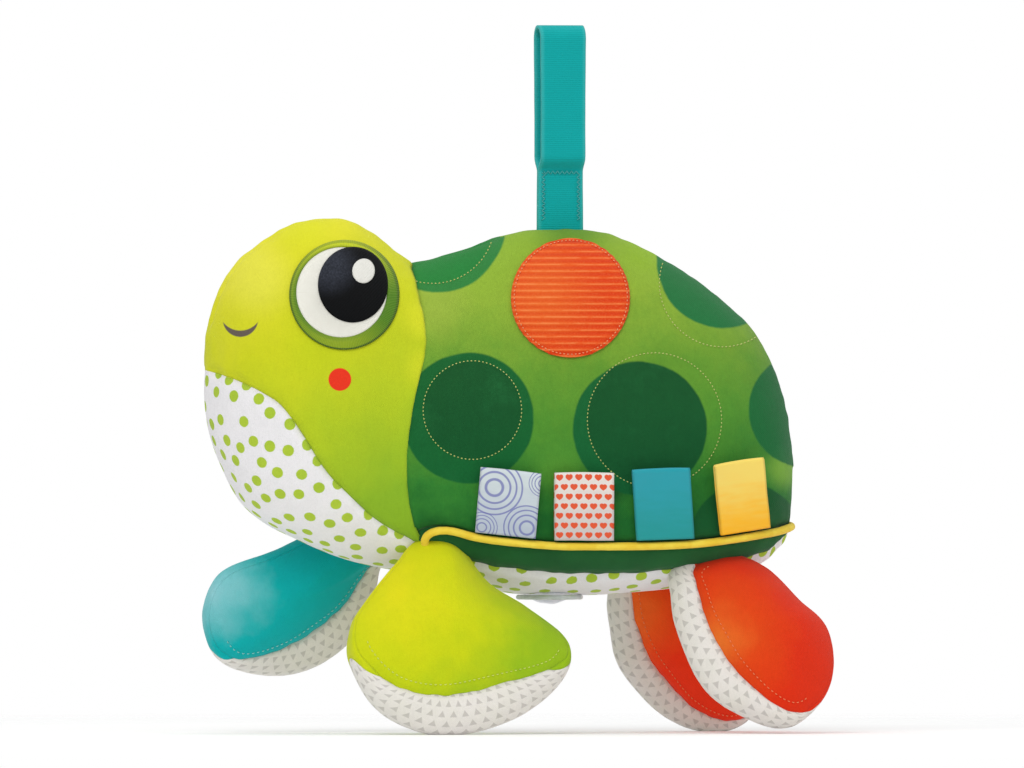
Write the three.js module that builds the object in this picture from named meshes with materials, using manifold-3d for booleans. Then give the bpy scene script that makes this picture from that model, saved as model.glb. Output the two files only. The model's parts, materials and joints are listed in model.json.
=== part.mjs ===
// Plush turtle: a stuffed head and shell sewn from fabric panels over fibre filling, with four
// hinged flippers, eight ribbon tags, a hanging strap and a small mirror film under the belly.
// Millimetres, +Z up, the head towards -X. The left side is the one towards -Y.
import * as THREE from "three";
import { mergeVertices } from "three/addons/utils/BufferGeometryUtils.js";
import Module from "manifold-3d";

const wasm = await Module();
wasm.setup();

// Driving dimensions
const backHeight = 212;
const shellLength = 164;
const shellHalfWidth = 45;
const headLength = 91.5;
const headHalfWidth = 39;
const neckSweep = 11;
const rearTuck = 3;
const skin = 1;
const gap = 0.3;
const pipingRadius = 1.4;
const patchRadius = 25;
const patchThickness = 1.4;
const eyeRadius = 22.9;
const eyeWhiteRadius = 19.2;
const pupilRadius = 14.5;
const pupilTall = 1.07;
const highlightRadius = 4.8;
const stitchLayer = 0.7;
const viewTurn = 15;
const tagWidth = 25.6;
const tagThickness = 1.8;
const tagSeatClearance = 0.9;
const tagHeights = [29.4, 30.7, 32.5, 33];
const strapWidth = 19.5;
const strapPly = 1.6;
const strapLength = 85;
const strapSewn = 22;
const strapOpening = 9;
const filmRadius = 12;
const filmBulge = 3.8;
const bindingRadius = 1;
const flipperReach = 75;
const flipperPuff = 17;
const footFlat = 0.5;
const swingClearance = 0.6;
const outwardSwing = 40;
const inwardSwing = -10;
const swingOverrun = 1.5;

// The neck's middle, where its seam dips: shares of the sweep at its sides and of the back's height
const neckHubShares = [0.6, 0.594];

// Where pieces sit, as shares of the length and the back's height of the form that carries them
const patchPlaceShares = [0.3268, 0.8599];
const eyePlaceShares = [0.4514, 0.8679];
const strapAlongShare = 0.3793;
const filmAlongShare = 0.3524;

// Segment counts
const panelColumns = 7;
const rimColumns = 2;
const bellyColumns = 4;
const flipperSamples = 20;
const discSides = 24;
const pipingSides = 8;
const pipingSteps = 44;
const tagArcSteps = 5;
const strapArcSteps = 7;
const swingSteps = 5;
const seamSamples = 164;

// Exponents of the sections' rounded outline, above and below the widest height
const upperRoundness = 2;
const lowerRoundness = 2.3;

// Shell sections from the neck to the rear: place along the length, then the heights of the ridge,
// the widest line, the piping, the rim's lower edge and the belly, then the half width
const shellSectionShares = [
  [0, 0.931, 0.594, 0.396, 0.373, 0.316, 0.865],
  [0.06, 0.941, 0.575, 0.408, 0.354, 0.304, 0.89],
  [0.15, 0.961, 0.557, 0.39, 0.333, 0.294, 0.923],
  [0.26, 0.991, 0.538, 0.379, 0.32, 0.276, 0.967],
  [0.38, 1, 0.533, 0.373, 0.312, 0.274, 0.996],
  [0.5, 0.993, 0.528, 0.373, 0.311, 0.275, 1],
  [0.61, 0.96, 0.524, 0.374, 0.316, 0.282, 0.981],
  [0.71, 0.915, 0.524, 0.378, 0.325, 0.29, 0.938],
  [0.8, 0.862, 0.519, 0.386, 0.335, 0.303, 0.856],
  [0.875, 0.808, 0.514, 0.394, 0.343, 0.318, 0.721],
  [0.93, 0.741, 0.505, 0.4, 0.358, 0.337, 0.558],
  [0.97, 0.665, 0.491, 0.406, 0.377, 0.363, 0.356],
  [0.992, 0.585, 0.481, 0.409, 0.392, 0.38, 0.163],
  [1, 0.528, 0.462, 0.411, 0.402, 0.396, 0],
];

// Head sections from the neck to the nose: place along the length, then the heights of the crown,
// the widest line, the seam of the white gusset and the chest, then the half width
const headSectionShares = [
  [0, 0.931, 0.594, 0.368, 0.316, 0.999],
  [0.1, 0.961, 0.604, 0.393, 0.321, 0.978],
  [0.2, 0.993, 0.618, 0.422, 0.33, 0.984],
  [0.32, 1.019, 0.637, 0.467, 0.344, 1],
  [0.45, 1.02, 0.656, 0.517, 0.363, 0.996],
  [0.58, 1.008, 0.67, 0.588, 0.388, 0.956],
  [0.7, 0.979, 0.682, 0.647, 0.417, 0.873],
  [0.8, 0.95, 0.693, 0.675, 0.454, 0.756],
  [0.88, 0.913, 0.703, 0.692, 0.508, 0.611],
  [0.94, 0.868, 0.712, 0.704, 0.561, 0.433],
  [0.98, 0.818, 0.719, 0.712, 0.613, 0.222],
  [1, 0.778, 0.722, 0.719, 0.665, 0],
];

// Flipper outlines round the colour panel: forward and down from the root, then how far the sole
// stands out past the panel's edge, then half the thickness there
const frontLeftShares = [
  [0.02, -0.14, 0.01, 0.04],
  [-0.16, -0.08, 0.01, 0.05],
  [-0.285, 0.05, 0.01, 0.05],
  [-0.49, 0.28, 0.01, 0.05],
  [-0.565, 0.4, 0.01, 0.06],
  [-0.57, 0.58, 0.03, 0.09],
  [-0.4, 0.785, 0.1, 0.12],
  [-0.1, 0.85, 0.17, 0.13],
  [0.3, 0.765, 0.16, 0.13],
  [0.6, 0.645, 0.05, 0.09],
  [0.64, 0.48, 0.01, 0.05],
  [0.42, 0.295, 0.01, 0.05],
  [0.215, 0.15, 0.01, 0.05],
];
const frontRightShares = [
  [-0.22, -0.17, 0.01, 0.05],
  [-0.44, -0.08, 0.01, 0.05],
  [-0.625, 0.01, 0.01, 0.05],
  [-0.905, 0.13, 0.01, 0.05],
  [-0.99, 0.34, 0.01, 0.06],
  [-0.94, 0.52, 0.03, 0.09],
  [-0.815, 0.6, 0.08, 0.12],
  [-0.56, 0.536, 0.2, 0.13],
  [-0.34, 0.4, 0.23, 0.13],
  [-0.2, 0.262, 0.18, 0.11],
  [-0.09, 0.08, 0.1, 0.08],
  [0, -0.06, 0.01, 0.05],
];
const rearLeftShares = [
  [0.01, -0.06, 0.01, 0.05],
  [-0.2, 0.02, 0.1, 0.08],
  [-0.21, 0.16, 0.115, 0.11],
  [-0.18, 0.37, 0.13, 0.12],
  [-0.06, 0.65, 0.15, 0.12],
  [0.15, 0.87, 0.075, 0.12],
  [0.33, 0.925, 0.015, 0.08],
  [0.49, 0.79, 0.01, 0.05],
  [0.56, 0.6, 0.01, 0.05],
  [0.54, 0.375, 0.01, 0.05],
  [0.4, 0.215, 0.01, 0.05],
  [0.22, 0.02, 0.01, 0.05],
];
const rearRightShares = [
  [0.01, -0.06, 0.01, 0.05],
  [-0.22, 0.02, 0.09, 0.08],
  [-0.235, 0.14, 0.1, 0.1],
  [-0.2, 0.3, 0.12, 0.12],
  [-0.09, 0.53, 0.16, 0.12],
  [0.12, 0.762, 0.15, 0.12],
  [0.31, 0.875, 0.12, 0.12],
  [0.47, 0.905, 0.06, 0.1],
  [0.57, 0.83, 0.015, 0.06],
  [0.59, 0.62, 0.01, 0.05],
  [0.55, 0.39, 0.01, 0.05],
  [0.4, 0.215, 0.01, 0.05],
  [0.22, 0.02, 0.01, 0.05],
];

const turtle = new THREE.Group();

const fabric = (colour, roughness = 0.85) => ({ color: colour, roughness, metalness: 0 });

function place(name, geometry, finish) {
  const mesh = new THREE.Mesh(geometry, new THREE.MeshStandardMaterial(finish));
  mesh.name = name;
  turtle.add(mesh);
  return mesh;
}

// Closed geometry with its faces outwards, from points and triangles
function closed(points, triangles) {
  const volume = triangles.reduce((sum, [a, b, c]) => {
    const cross = new THREE.Vector3().crossVectors(points[b], points[c]);
    return sum + points[a].dot(cross);
  }, 0);
  const turned = volume < 0 ? triangles.map(([a, b, c]) => [a, c, b]) : triangles;
  const geometry = new THREE.BufferGeometry();
  const values = points.flatMap((p) => p.toArray());
  geometry.setAttribute("position", new THREE.Float32BufferAttribute(values, 3));
  geometry.setIndex(turned.flat());
  return withoutSlivers(mergeVertices(geometry));
}

// Triangles that lost a corner when their points were merged are left out
function withoutSlivers(geometry) {
  const index = geometry.getIndex().array;
  const kept = [];
  for (let t = 0; t < index.length; t += 3) {
    const [a, b, c] = [index[t], index[t + 1], index[t + 2]];
    if (a !== b && b !== c && c !== a) kept.push(a, b, c);
  }
  geometry.setIndex(kept);
  return geometry;
}

function solid(geometry) {
  const bare = geometry.clone();
  bare.deleteAttribute("normal");
  bare.deleteAttribute("uv");
  const merged = withoutSlivers(mergeVertices(bare));
  const mesh = new wasm.Mesh({
    numProp: 3,
    vertProperties: new Float32Array(merged.attributes.position.array),
    triVerts: new Uint32Array(merged.getIndex().array),
  });
  return new wasm.Manifold(mesh);
}

// Geometry of the largest body of a solid
function geometryOf(manifold) {
  const bodies = manifold.decompose().sort((a, b) => b.volume() - a.volume());
  const { vertProperties, triVerts } = bodies[0].getMesh();
  const geometry = new THREE.BufferGeometry();
  geometry.setAttribute("position", new THREE.Float32BufferAttribute(vertProperties, 3));
  geometry.setIndex(Array.from(triVerts));
  return geometry;
}

// A grid of points closed round its columns; the first side's columns run from top to bottom
function sectionGrid(sections, seamColumns, alongOf, halfWidth) {
  const sideColumns = seamColumns.reduce((sum, count) => sum + count, 0);
  return sections.map((shares) => {
    const [along, ...rest] = shares;
    const half = rest.pop() * halfWidth;
    const [top, widest, ...seams] = rest.map((share) => share * backHeight);
    const bottom = seams[seams.length - 1];
    const angles = [0];
    seams.forEach((height, band) => {
      const reach = height > widest ? top - widest : widest - bottom;
      const roundness = height > widest ? upperRoundness : lowerRoundness;
      const cosine = (Math.abs(height - widest) / reach) ** (roundness / 2);
      const end = Math.acos(Math.min(1, cosine) * Math.sign(height - widest));
      const start = angles[angles.length - 1];
      for (let step = 1; step <= seamColumns[band]; step += 1) {
        angles.push(start + ((end - start) * step) / seamColumns[band]);
      }
    });
    const ring = [];
    for (let column = 0; column < 2 * sideColumns; column += 1) {
      const left = column <= sideColumns;
      const angle = angles[left ? column : 2 * sideColumns - column];
      const power = Math.cos(angle) > 0 ? 2 / upperRoundness : 2 / lowerRoundness;
      const reach = Math.cos(angle) > 0 ? top - widest : widest - bottom;
      const rise = Math.sign(Math.cos(angle)) * Math.abs(Math.cos(angle)) ** power * reach;
      const aside = Math.abs(Math.sin(angle)) ** power * half * (left ? -1 : 1);
      const flat = column === 0 || column === sideColumns;
      ring.push(new THREE.Vector3(alongOf(along, angle), flat ? 0 : aside, widest + rise));
    }
    return ring;
  });
}

const middleOf = (points) =>
  points.reduce((sum, p) => sum.add(p), new THREE.Vector3()).divideScalar(points.length);

// Sums of the face normals that meet at each point of a grid closed round its columns
function faceSums(grid) {
  const columns = grid[0].length;
  const sums = grid.map((ring) => ring.map(() => new THREE.Vector3()));
  for (let row = 0; row + 1 < grid.length; row += 1) {
    for (let column = 0; column < columns; column += 1) {
      const next = (column + 1) % columns;
      const across = new THREE.Vector3().subVectors(grid[row + 1][next], grid[row][column]);
      const other = new THREE.Vector3().subVectors(grid[row + 1][column], grid[row][next]);
      const face = new THREE.Vector3().crossVectors(across, other);
      [sums[row], sums[row + 1]].forEach((ring) => [column, next].forEach((c) => ring[c].add(face)));
    }
  }
  return sums;
}
function outwardUnits(grid, sums) {
  const points = grid.flat();
  const centre = middleOf(points);
  const facing = sums.flat().reduce((sum, n, k) => sum + n.dot(points[k]) - n.dot(centre), 0);
  return sums.map((ring) => ring.map((n) => n.normalize().multiplyScalar(Math.sign(facing))));
}

// Normals of a form whose first ring is its neck and whose last ring folds shut on itself
function formNormals(grid) {
  const sums = faceSums(grid);
  const columns = grid[0].length;
  const last = grid.length - 1;
  for (let column = 1; column < columns / 2; column += 1) {
    const twin = columns - column;
    sums[last][column].add(sums[last][twin]);
    sums[last][twin].copy(sums[last][column]);
  }
  sums[0].forEach((normal) => {
    normal.x = 0;
  });
  return outwardUnits(grid, sums);
}

// Normals of a paddle's grid, whose first and last rings are poles
function paddleNormals(grid) {
  const sums = faceSums(grid);
  [0, grid.length - 1].forEach((row) => {
    const total = sums[row].reduce((sum, n) => sum.add(n), new THREE.Vector3());
    sums[row] = sums[row].map(() => total.clone());
  });
  return outwardUnits(grid, sums);
}

function offsetGrid(grid, normals, distance) {
  return grid.map((ring, row) =>
    ring.map((point, column) => point.clone().addScaledVector(normals[row][column], distance)));
}

// Closed body inside a grid, whose first ring is a pole or is capped by a fan from a hub
function bodyOf(grid, hub = null) {
  const columns = grid[0].length;
  const points = grid.flat();
  const triangles = [];
  for (let row = 0; row + 1 < grid.length; row += 1) {
    for (let column = 0; column < columns; column += 1) {
      const next = (column + 1) % columns;
      const [a, b] = [row * columns + column, row * columns + next];
      triangles.push([a, b, b + columns], [a, b + columns, a + columns]);
    }
  }
  if (hub) {
    grid[0].forEach((_, column) => triangles.push([(column + 1) % columns, column, points.length]));
    points.push(hub);
  }
  return closed(points, triangles);
}

// A piece of fabric: a patch of the skin between two rows, all the way round or between two columns,
// drawn in by half a gap at its edges
function patchOf({ outer, inner }, [rowFrom, rowTo], columns = null) {
  const size = outer[0].length;
  const [columnFrom, columnTo] = columns ?? [0, size - 1];
  const [rowCount, count] = [rowTo - rowFrom + 1, columnTo - columnFrom + 1];
  const isPole = (row) => row[0].distanceTo(row[Math.floor(row.length / 2)]) < gap;
  const draw = (point, towards) => {
    const move = new THREE.Vector3().subVectors(towards, point);
    if (move.length() > gap) point.addScaledVector(move.normalize(), gap / 2);
  };
  const pick = (grid) => {
    const rows = grid.slice(rowFrom, rowTo + 1)
      .map((ring) => Array.from({ length: count }, (_, k) => ring[(columnFrom + k) % size]));
    const ends = [[0, 1], [rowCount - 1, rowCount - 2]].filter(([end]) => !isPole(rows[end]));
    const sides = columns ? [[0, 1], [count - 1, count - 2]] : [];
    return rows.map((row, r) => row.map((point, k) => {
      const drawn = point.clone();
      sides.filter(([side]) => side === k).forEach(([, next]) => draw(drawn, row[next]));
      ends.filter(([end]) => end === r).forEach(([, next]) => draw(drawn, rows[next][k]));
      return drawn;
    }));
  };
  const layers = [pick(outer), pick(inner)];
  const at = (layer, row, column) => (layer * rowCount + row) * count + (column % count);
  const triangles = [];
  const quad = (a, b, c, d) => triangles.push([a, b, c], [a, c, d]);
  const around = columns ? count - 1 : count;
  for (let r = 0; r + 1 < rowCount; r += 1) {
    for (let k = 0; k < around; k += 1) {
      quad(at(0, r, k), at(0, r, k + 1), at(0, r + 1, k + 1), at(0, r + 1, k));
      quad(at(1, r, k), at(1, r + 1, k), at(1, r + 1, k + 1), at(1, r, k + 1));
    }
    if (columns) {
      quad(at(0, r + 1, 0), at(1, r + 1, 0), at(1, r, 0), at(0, r, 0));
      quad(at(0, r, around), at(1, r, around), at(1, r + 1, around), at(0, r + 1, around));
    }
  }
  const last = rowCount - 1;
  for (let k = 0; k < around; k += 1) {
    if (!isPole(layers[0][0])) quad(at(0, 0, k), at(1, 0, k), at(1, 0, k + 1), at(0, 0, k + 1));
    if (!isPole(layers[0][last])) {
      quad(at(0, last, k + 1), at(1, last, k + 1), at(1, last, k), at(0, last, k));
    }
  }
  return closed(layers.flat(2), triangles);
}

// Shell and head surfaces
const neckLine = (angle) => -neckSweep * Math.sin(angle);
const shellAlong = (share, angle) => {
  const rear = shellLength - (rearTuck * angle) / Math.PI;
  return neckLine(angle) + gap / 2 + share * (rear - neckLine(angle) - gap / 2);
};
const headAlong = (share, angle) => {
  const start = neckLine(angle) - gap / 2;
  return start + share * (-headLength - start);
};
const neckHub = (away) => new THREE.Vector3(
  neckHubShares[0] * neckLine(Math.PI / 2) + (away * gap) / 2, 0, neckHubShares[1] * backHeight);
function surface(sections, seamColumns, alongOf, halfWidth, away) {
  const outer = sectionGrid(sections, seamColumns, alongOf, halfWidth);
  const normals = formNormals(outer);
  const layer = (distance) => bodyOf(offsetGrid(outer, normals, distance), neckHub(away));
  return {
    outer,
    normals,
    inner: offsetGrid(outer, normals, -skin),
    filling: () => layer(-skin - gap),
    grown: (distance) => solid(layer(distance)),
  };
}
const shellSeams = [panelColumns, rimColumns, bellyColumns];
const shell = surface(shellSectionShares, shellSeams, shellAlong, shellHalfWidth, 1);
const head = surface(headSectionShares, [panelColumns, bellyColumns], headAlong, headHalfWidth, -1);
const shellColumns = shell.outer[0].length;
const headColumns = head.outer[0].length;
const rimEnd = panelColumns + rimColumns;

function addBody() {
  place("body_filling", shell.filling(), fabric("#efeee8"));
  place("head_filling", head.filling(), fabric("#efeee8"));
  const cover = (name, form, columns, colour) =>
    place(name, patchOf(form, [0, form.outer.length - 1], columns), fabric(colour));
  cover("shell_panel_left", shell, [0, panelColumns], "#6ea537");
  cover("shell_panel_right", shell, [shellColumns - panelColumns, shellColumns], "#6ea537");
  cover("rim_band_left", shell, [panelColumns, rimEnd], "#23552a");
  cover("rim_band_right", shell, [shellColumns - rimEnd, shellColumns - panelColumns], "#23552a");
  cover("belly_panel", shell, [rimEnd, shellColumns - rimEnd], "#ebe8ee");
  cover("chest_gusset", head, [panelColumns, headColumns - panelColumns], "#ebe8ee");
  cover("head_panel_left", head, [0, panelColumns], "#c3cd1e");
  cover("head_panel_right", head, [headColumns - panelColumns, headColumns], "#c3cd1e");
}

// Piping cord, sewn all along the seam between the shell panels and the rim bands
const seamColumn = (side) => (side < 0 ? panelColumns : shellColumns - panelColumns);
const pipingPoint = (row, side) => {
  const column = seamColumn(side);
  return shell.outer[row][column].clone()
    .addScaledVector(shell.normals[row][column], pipingRadius + gap * 2);
};
function addPiping() {
  const rows = shell.outer.map((_, row) => row);
  const back = rows.slice(0, -1).reverse();
  const route = [...rows.map((row) => pipingPoint(row, -1)), ...back.map((row) => pipingPoint(row, 1))];
  const circle = new THREE.Shape().absarc(0, 0, pipingRadius, 0, 2 * Math.PI);
  const geometry = new THREE.ExtrudeGeometry(circle, {
    steps: pipingSteps,
    curveSegments: pipingSides / 2,
    bevelEnabled: false,
    extrudePath: new THREE.CatmullRomCurve3(route, false, "centripetal"),
  });
  place("shell_piping", geometry, fabric("#d8c94f"));
}

// A prism seen along the given turn from straight ahead, long enough to pass through one side
function prismThrough(shape, along, height, side) {
  const turn = THREE.MathUtils.degToRad(viewTurn);
  const length = 2 * shellHalfWidth;
  const options = { depth: length, bevelEnabled: false, curveSegments: discSides / 2 };
  const prism = new THREE.ExtrudeGeometry(shape, options);
  const outward = new THREE.Vector3(-Math.sin(turn), side * Math.cos(turn), 0);
  const up = new THREE.Vector3(0, 0, 1);
  const across = new THREE.Vector3().crossVectors(up, outward);
  const frame = new THREE.Matrix4().makeBasis(across, up, outward);
  frame.setPosition(along, 0, height);
  return solid(prism.applyMatrix4(frame));
}

// A piece sewn on a surface, following it, a given lift above it
function sewnOn(body, prism, lift, thickness) {
  return geometryOf(prism.intersect(body.grown(lift + thickness)).subtract(body.grown(lift)));
}
function disc(radius, holeRadius = 0, tall = 1) {
  const shape = new THREE.Shape();
  shape.absellipse(0, 0, radius, radius * tall, 0, 2 * Math.PI);
  if (holeRadius > 0) {
    const hole = new THREE.Path();
    hole.absellipse(0, 0, holeRadius, holeRadius, 0, 2 * Math.PI);
    shape.holes.push(hole);
  }
  return shape;
}

const sideName = (side) => (side < 0 ? "left" : "right");

function addPatches() {
  [-1, 1].forEach((side) => {
    const [along, height] = [patchPlaceShares[0] * shellLength, patchPlaceShares[1] * backHeight];
    const prism = prismThrough(disc(patchRadius), along, height, side);
    const geometry = sewnOn(shell, prism, gap, patchThickness);
    place(`corduroy_patch_${sideName(side)}`, geometry, fabric("#e36625"));
  });
}

// Where the pupil and its highlight lie from the eye's centre, as shares of its radius
const pupilPlaceShares = [0.21, 0.14];
const highlightPlaceShares = [0.4, 0.41];

function addEyes() {
  const turn = THREE.MathUtils.degToRad(viewTurn);
  const spot = (shares, side) => ({
    along: -eyePlaceShares[0] * headLength + eyeRadius * shares[0] * Math.cos(turn),
    height: eyePlaceShares[1] * backHeight + eyeRadius * shares[1],
    side,
  });
  [-1, 1].forEach((side) => {
    const layer = (name, shape, shares, level, colour) => {
      const { along, height } = spot(shares, side);
      const lift = gap + level * (stitchLayer + gap);
      const geometry = sewnOn(head, prismThrough(shape, along, height, side), lift, stitchLayer);
      place(`${name}_${sideName(side)}`, geometry, fabric(colour, 0.5));
    };
    layer("eye_ring", disc(eyeRadius, eyeWhiteRadius + gap), [0, 0], 0, "#55782c");
    layer("eye_white", disc(eyeWhiteRadius), [0, 0], 0, "#f0eedf");
    layer("eye_pupil", disc(pupilRadius, 0, pupilTall), pupilPlaceShares, 1, "#191b1c");
    layer("eye_highlight", disc(highlightRadius, 0, pupilTall), highlightPlaceShares, 2, "#f0eedf");
  });
}

// Ribbon tags: folded flat, standing on the piping with a rounded lower edge on the hinge line
const tagPlaceShares = [0.222, 0.414, 0.62, 0.83];
const tagSideShare = 0.75;
const tagFootShare = 0.2;
const tagColours = ["#c8cdd2", "#e8e6e2", "#139d9b", "#edc45f"];
const tagNames = ["ring_print", "dotted", "teal_satin", "yellow_satin"];

function tagGeometry(height) {
  const radius = tagThickness / 2;
  const profile = new THREE.Shape();
  profile.absarc(0, 0, radius, Math.PI, 2 * Math.PI);
  profile.absarc(0, height - 2 * radius, radius, 0, Math.PI);
  profile.closePath();
  const options = { depth: tagWidth, bevelEnabled: false, curveSegments: tagArcSteps };
  const geometry = new THREE.ExtrudeGeometry(profile, options);
  return geometry.translate(0, 0, -tagWidth / 2);
}
// How far a flat tag leans outwards, for each unit up, to lie clear of the shell's bulge behind it
function leanOver(foot, along, outward, height) {
  const clear = tagThickness / 2 + 2 * gap;
  return shell.outer.flat().reduce((lean, point) => {
    const from = new THREE.Vector3().subVectors(point, foot);
    const beside = Math.abs(from.dot(along)) > tagWidth * tagSideShare;
    const level = from.z < height * tagFootShare || from.z > height;
    return beside || level ? lean : Math.max(lean, (from.dot(outward) + clear) / from.z);
  }, 0);
}
function addTags() {
  [-1, 1].forEach((side) => {
    const rows = shell.outer.map((_, row) => row);
    const route = rows.map((row) => pipingPoint(row, side));
    const seam = new THREE.CatmullRomCurve3(route, false, "centripetal");
    tagPlaceShares.forEach((share, k) => {
      const wanted = neckLine(Math.PI / 2) + share * (shellLength + neckSweep);
      const steps = Array.from({ length: seamSamples }, (_, n) => n / seamSamples);
      const near = steps.reduce((best, t) =>
        (Math.abs(seam.getPoint(t).x - wanted) < Math.abs(seam.getPoint(best).x - wanted) ? t : best), 0);
      const point = seam.getPoint(near);
      const along = seam.getTangent(near).normalize();
      const outward = new THREE.Vector3(-along.y, along.x, 0).normalize();
      if (outward.y * side < 0) outward.negate();
      const lift = pipingRadius + tagThickness / 2 + tagSeatClearance;
      const lean = leanOver(point, along, outward, tagHeights[k] + lift);
      const up = new THREE.Vector3(0, 0, 1).addScaledVector(outward, lean).normalize();
      up.addScaledVector(along, -up.dot(along)).normalize();
      const away = new THREE.Vector3().crossVectors(along, up).normalize();
      if (away.y * side < 0) away.negate();
      const width = new THREE.Vector3().crossVectors(away, up);
      const frame = new THREE.Matrix4().makeBasis(away, up, width);
      frame.setPosition(point.clone().addScaledVector(up, lift));
      const name = `tag_${tagNames[k]}_${sideName(side)}`;
      place(name, tagGeometry(tagHeights[k]), fabric(tagColours[k], 0.4)).applyMatrix4(frame);
    });
  });
}

// Hanging strap: two plies sewn together above the ridge, then open as a loop and folded at the top.
// Gives the point inside the loop that a bar or hook bears on
function ridgeHeightAt(along) {
  const ridge = shell.outer.map((ring) => ring[0]);
  const after = ridge.findIndex((point) => point.x > along);
  const [a, b] = [ridge[after - 1], ridge[after]];
  return a.z + ((b.z - a.z) * (along - a.x)) / (b.x - a.x);
}
function addStrap() {
  const half = strapPly;
  const round = strapOpening / 2 + strapPly;
  const top = strapLength - half - round;
  const belly = strapSewn + round;
  const outline = new THREE.Shape();
  outline.absarc(0, 0, half, Math.PI, 2 * Math.PI);
  outline.lineTo(half, strapSewn - half);
  outline.quadraticCurveTo(half, (strapSewn + belly) / 2, round, belly);
  outline.absarc(0, top, round, 0, Math.PI);
  outline.lineTo(-round, belly);
  outline.quadraticCurveTo(-half, (strapSewn + belly) / 2, -half, strapSewn - half);
  outline.closePath();
  const inside = new THREE.Path();
  inside.moveTo(0, strapSewn);
  inside.quadraticCurveTo(strapPly / 2, (strapSewn + belly) / 2, strapOpening / 2, belly);
  inside.absarc(0, top, strapOpening / 2, 0, Math.PI);
  inside.lineTo(-strapOpening / 2, belly);
  inside.quadraticCurveTo(-strapPly / 2, (strapSewn + belly) / 2, 0, strapSewn);
  outline.holes.push(inside);
  const options = { depth: strapWidth, bevelEnabled: false, curveSegments: strapArcSteps };
  const geometry = new THREE.ExtrudeGeometry(outline, options).translate(0, 0, -strapWidth / 2);
  const frame = new THREE.Matrix4().makeBasis(
    new THREE.Vector3(0, 1, 0), new THREE.Vector3(0, 0, 1), new THREE.Vector3(1, 0, 0));
  const along = strapAlongShare * shellLength;
  const places = [along - strapWidth / 2, along, along + strapWidth / 2];
  const foot = Math.max(...places.map(ridgeHeightAt)) + gap + half;
  frame.setPosition(along, 0, foot);
  place("hanging_strap", geometry, fabric("#0a9f9d")).applyMatrix4(frame);
  return new THREE.Vector3(along, 0, foot + top + strapOpening / 2);
}

// Mirror film under the belly, with its bound edge
function addMirror() {
  const bellyShare = Math.min(...shellSectionShares.map((shares) => shares.at(-2)));
  const centre = new THREE.Vector3(filmAlongShare * shellLength, 0, bellyShare * backHeight);
  const body = shell.grown(gap);
  const dome = new THREE.SphereGeometry(filmRadius, discSides / 2, discSides / 4);
  dome.rotateX(Math.PI / 2).scale(1, 1, filmBulge / filmRadius).translate(...centre.toArray());
  const film = { color: "#b9bcc6", roughness: 0.15, metalness: 1 };
  place("mirror_film", geometryOf(solid(dome).subtract(body)), film);
  const around = filmRadius + gap * 2 + bindingRadius;
  const binding = new THREE.TorusGeometry(around, bindingRadius, pipingSides, discSides / 2);
  binding.translate(...centre.toArray()).translate(0, 0, -bindingRadius);
  place("mirror_binding", geometryOf(solid(binding).subtract(body)), fabric("#c3cbc9"));
}

// Flippers: a puffed paddle with an outer and an inner colour panel and a printed sole between them.
// The root's place is in shares of the shell's length, half width and height
const flippers = [
  {
    name: "front_left", side: -1, shares: frontLeftShares, rootShares: [0.033, 0.55, 0.349],
    soleShares: [0.4, 0.7], splay: 20, stands: true, colour: "#b0c81a",
  },
  {
    name: "front_right", side: 1, shares: frontRightShares, rootShares: [-0.049, 0.6, 0.358],
    soleShares: [0.45, 0.9], splay: 18, stands: false, colour: "#0e9a92",
  },
  {
    name: "rear_left", side: -1, shares: rearLeftShares, rootShares: [0.779, 0.48, 0.33],
    soleShares: [0.05, 0.55], splay: 22, stands: false, colour: "#da3718",
  },
  {
    name: "rear_right", side: 1, shares: rearRightShares, rootShares: [0.705, 0.48, 0.33],
    soleShares: [0.05, 0.6], splay: 22, stands: true, colour: "#da3718",
  },
];
const root = ({ rootShares, side }) => new THREE.Vector3(
  rootShares[0] * shellLength, side * rootShares[1] * shellHalfWidth, rootShares[2] * backHeight);

// Where the ring between a paddle's pole and its panel's edge lies, as a share of the way to the pole
const crownRingShare = 0.5;

// Rings of the paddle from the outer pole to the inner one, in the flipper's own forward, down and
// outward sizes
function paddleRings(shares) {
  const reach = (x, y) => new THREE.Vector3(x, y, 0).multiplyScalar(flipperReach);
  const outline = shares.map(([forward, down]) => reach(forward, down));
  const thickness = shares.map(([, , band, half]) => reach(band, half));
  const path = new THREE.CatmullRomCurve3(outline, true, "centripetal");
  const spread = new THREE.CatmullRomCurve3(thickness, true, "catmullrom", 0);
  const places = Array.from({ length: flipperSamples }, (_, k) => k / flipperSamples);
  const edge = places.map((t) => path.getPoint(t));
  const centre = middleOf(edge);
  const outwardAt = (k) => {
    const along = path.getTangent(places[k]);
    const normal = new THREE.Vector3(along.y, -along.x, 0);
    return normal.dot(edge[k].clone().sub(centre)) < 0 ? normal.negate() : normal;
  };
  const ring = (inset, out, depthOf) => edge.map((point, k) => {
    const { x: band, y: half } = spread.getPoint(places[k]);
    const spot = point.clone().lerp(centre, inset).addScaledVector(outwardAt(k), Math.max(band, gap) * out);
    return spot.setZ(depthOf(Math.max(half, skin)));
  });
  const crown = (half) => half + (flipperPuff - half) * (1 - crownRingShare ** 2);
  const pole = (depth) => edge.map(() => centre.clone().setZ(depth));
  const quarter = Math.SQRT1_2;
  return [
    pole(flipperPuff),
    ring(crownRingShare, 0, crown),
    ring(0, 0, (half) => half),
    ring(0, quarter, (half) => half * quarter),
    ring(0, 1, () => 0),
    ring(0, quarter, (half) => -half * quarter),
    ring(0, 0, (half) => -half),
    ring(crownRingShare, 0, (half) => -crown(half)),
    pole(-flipperPuff),
  ];
}
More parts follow.
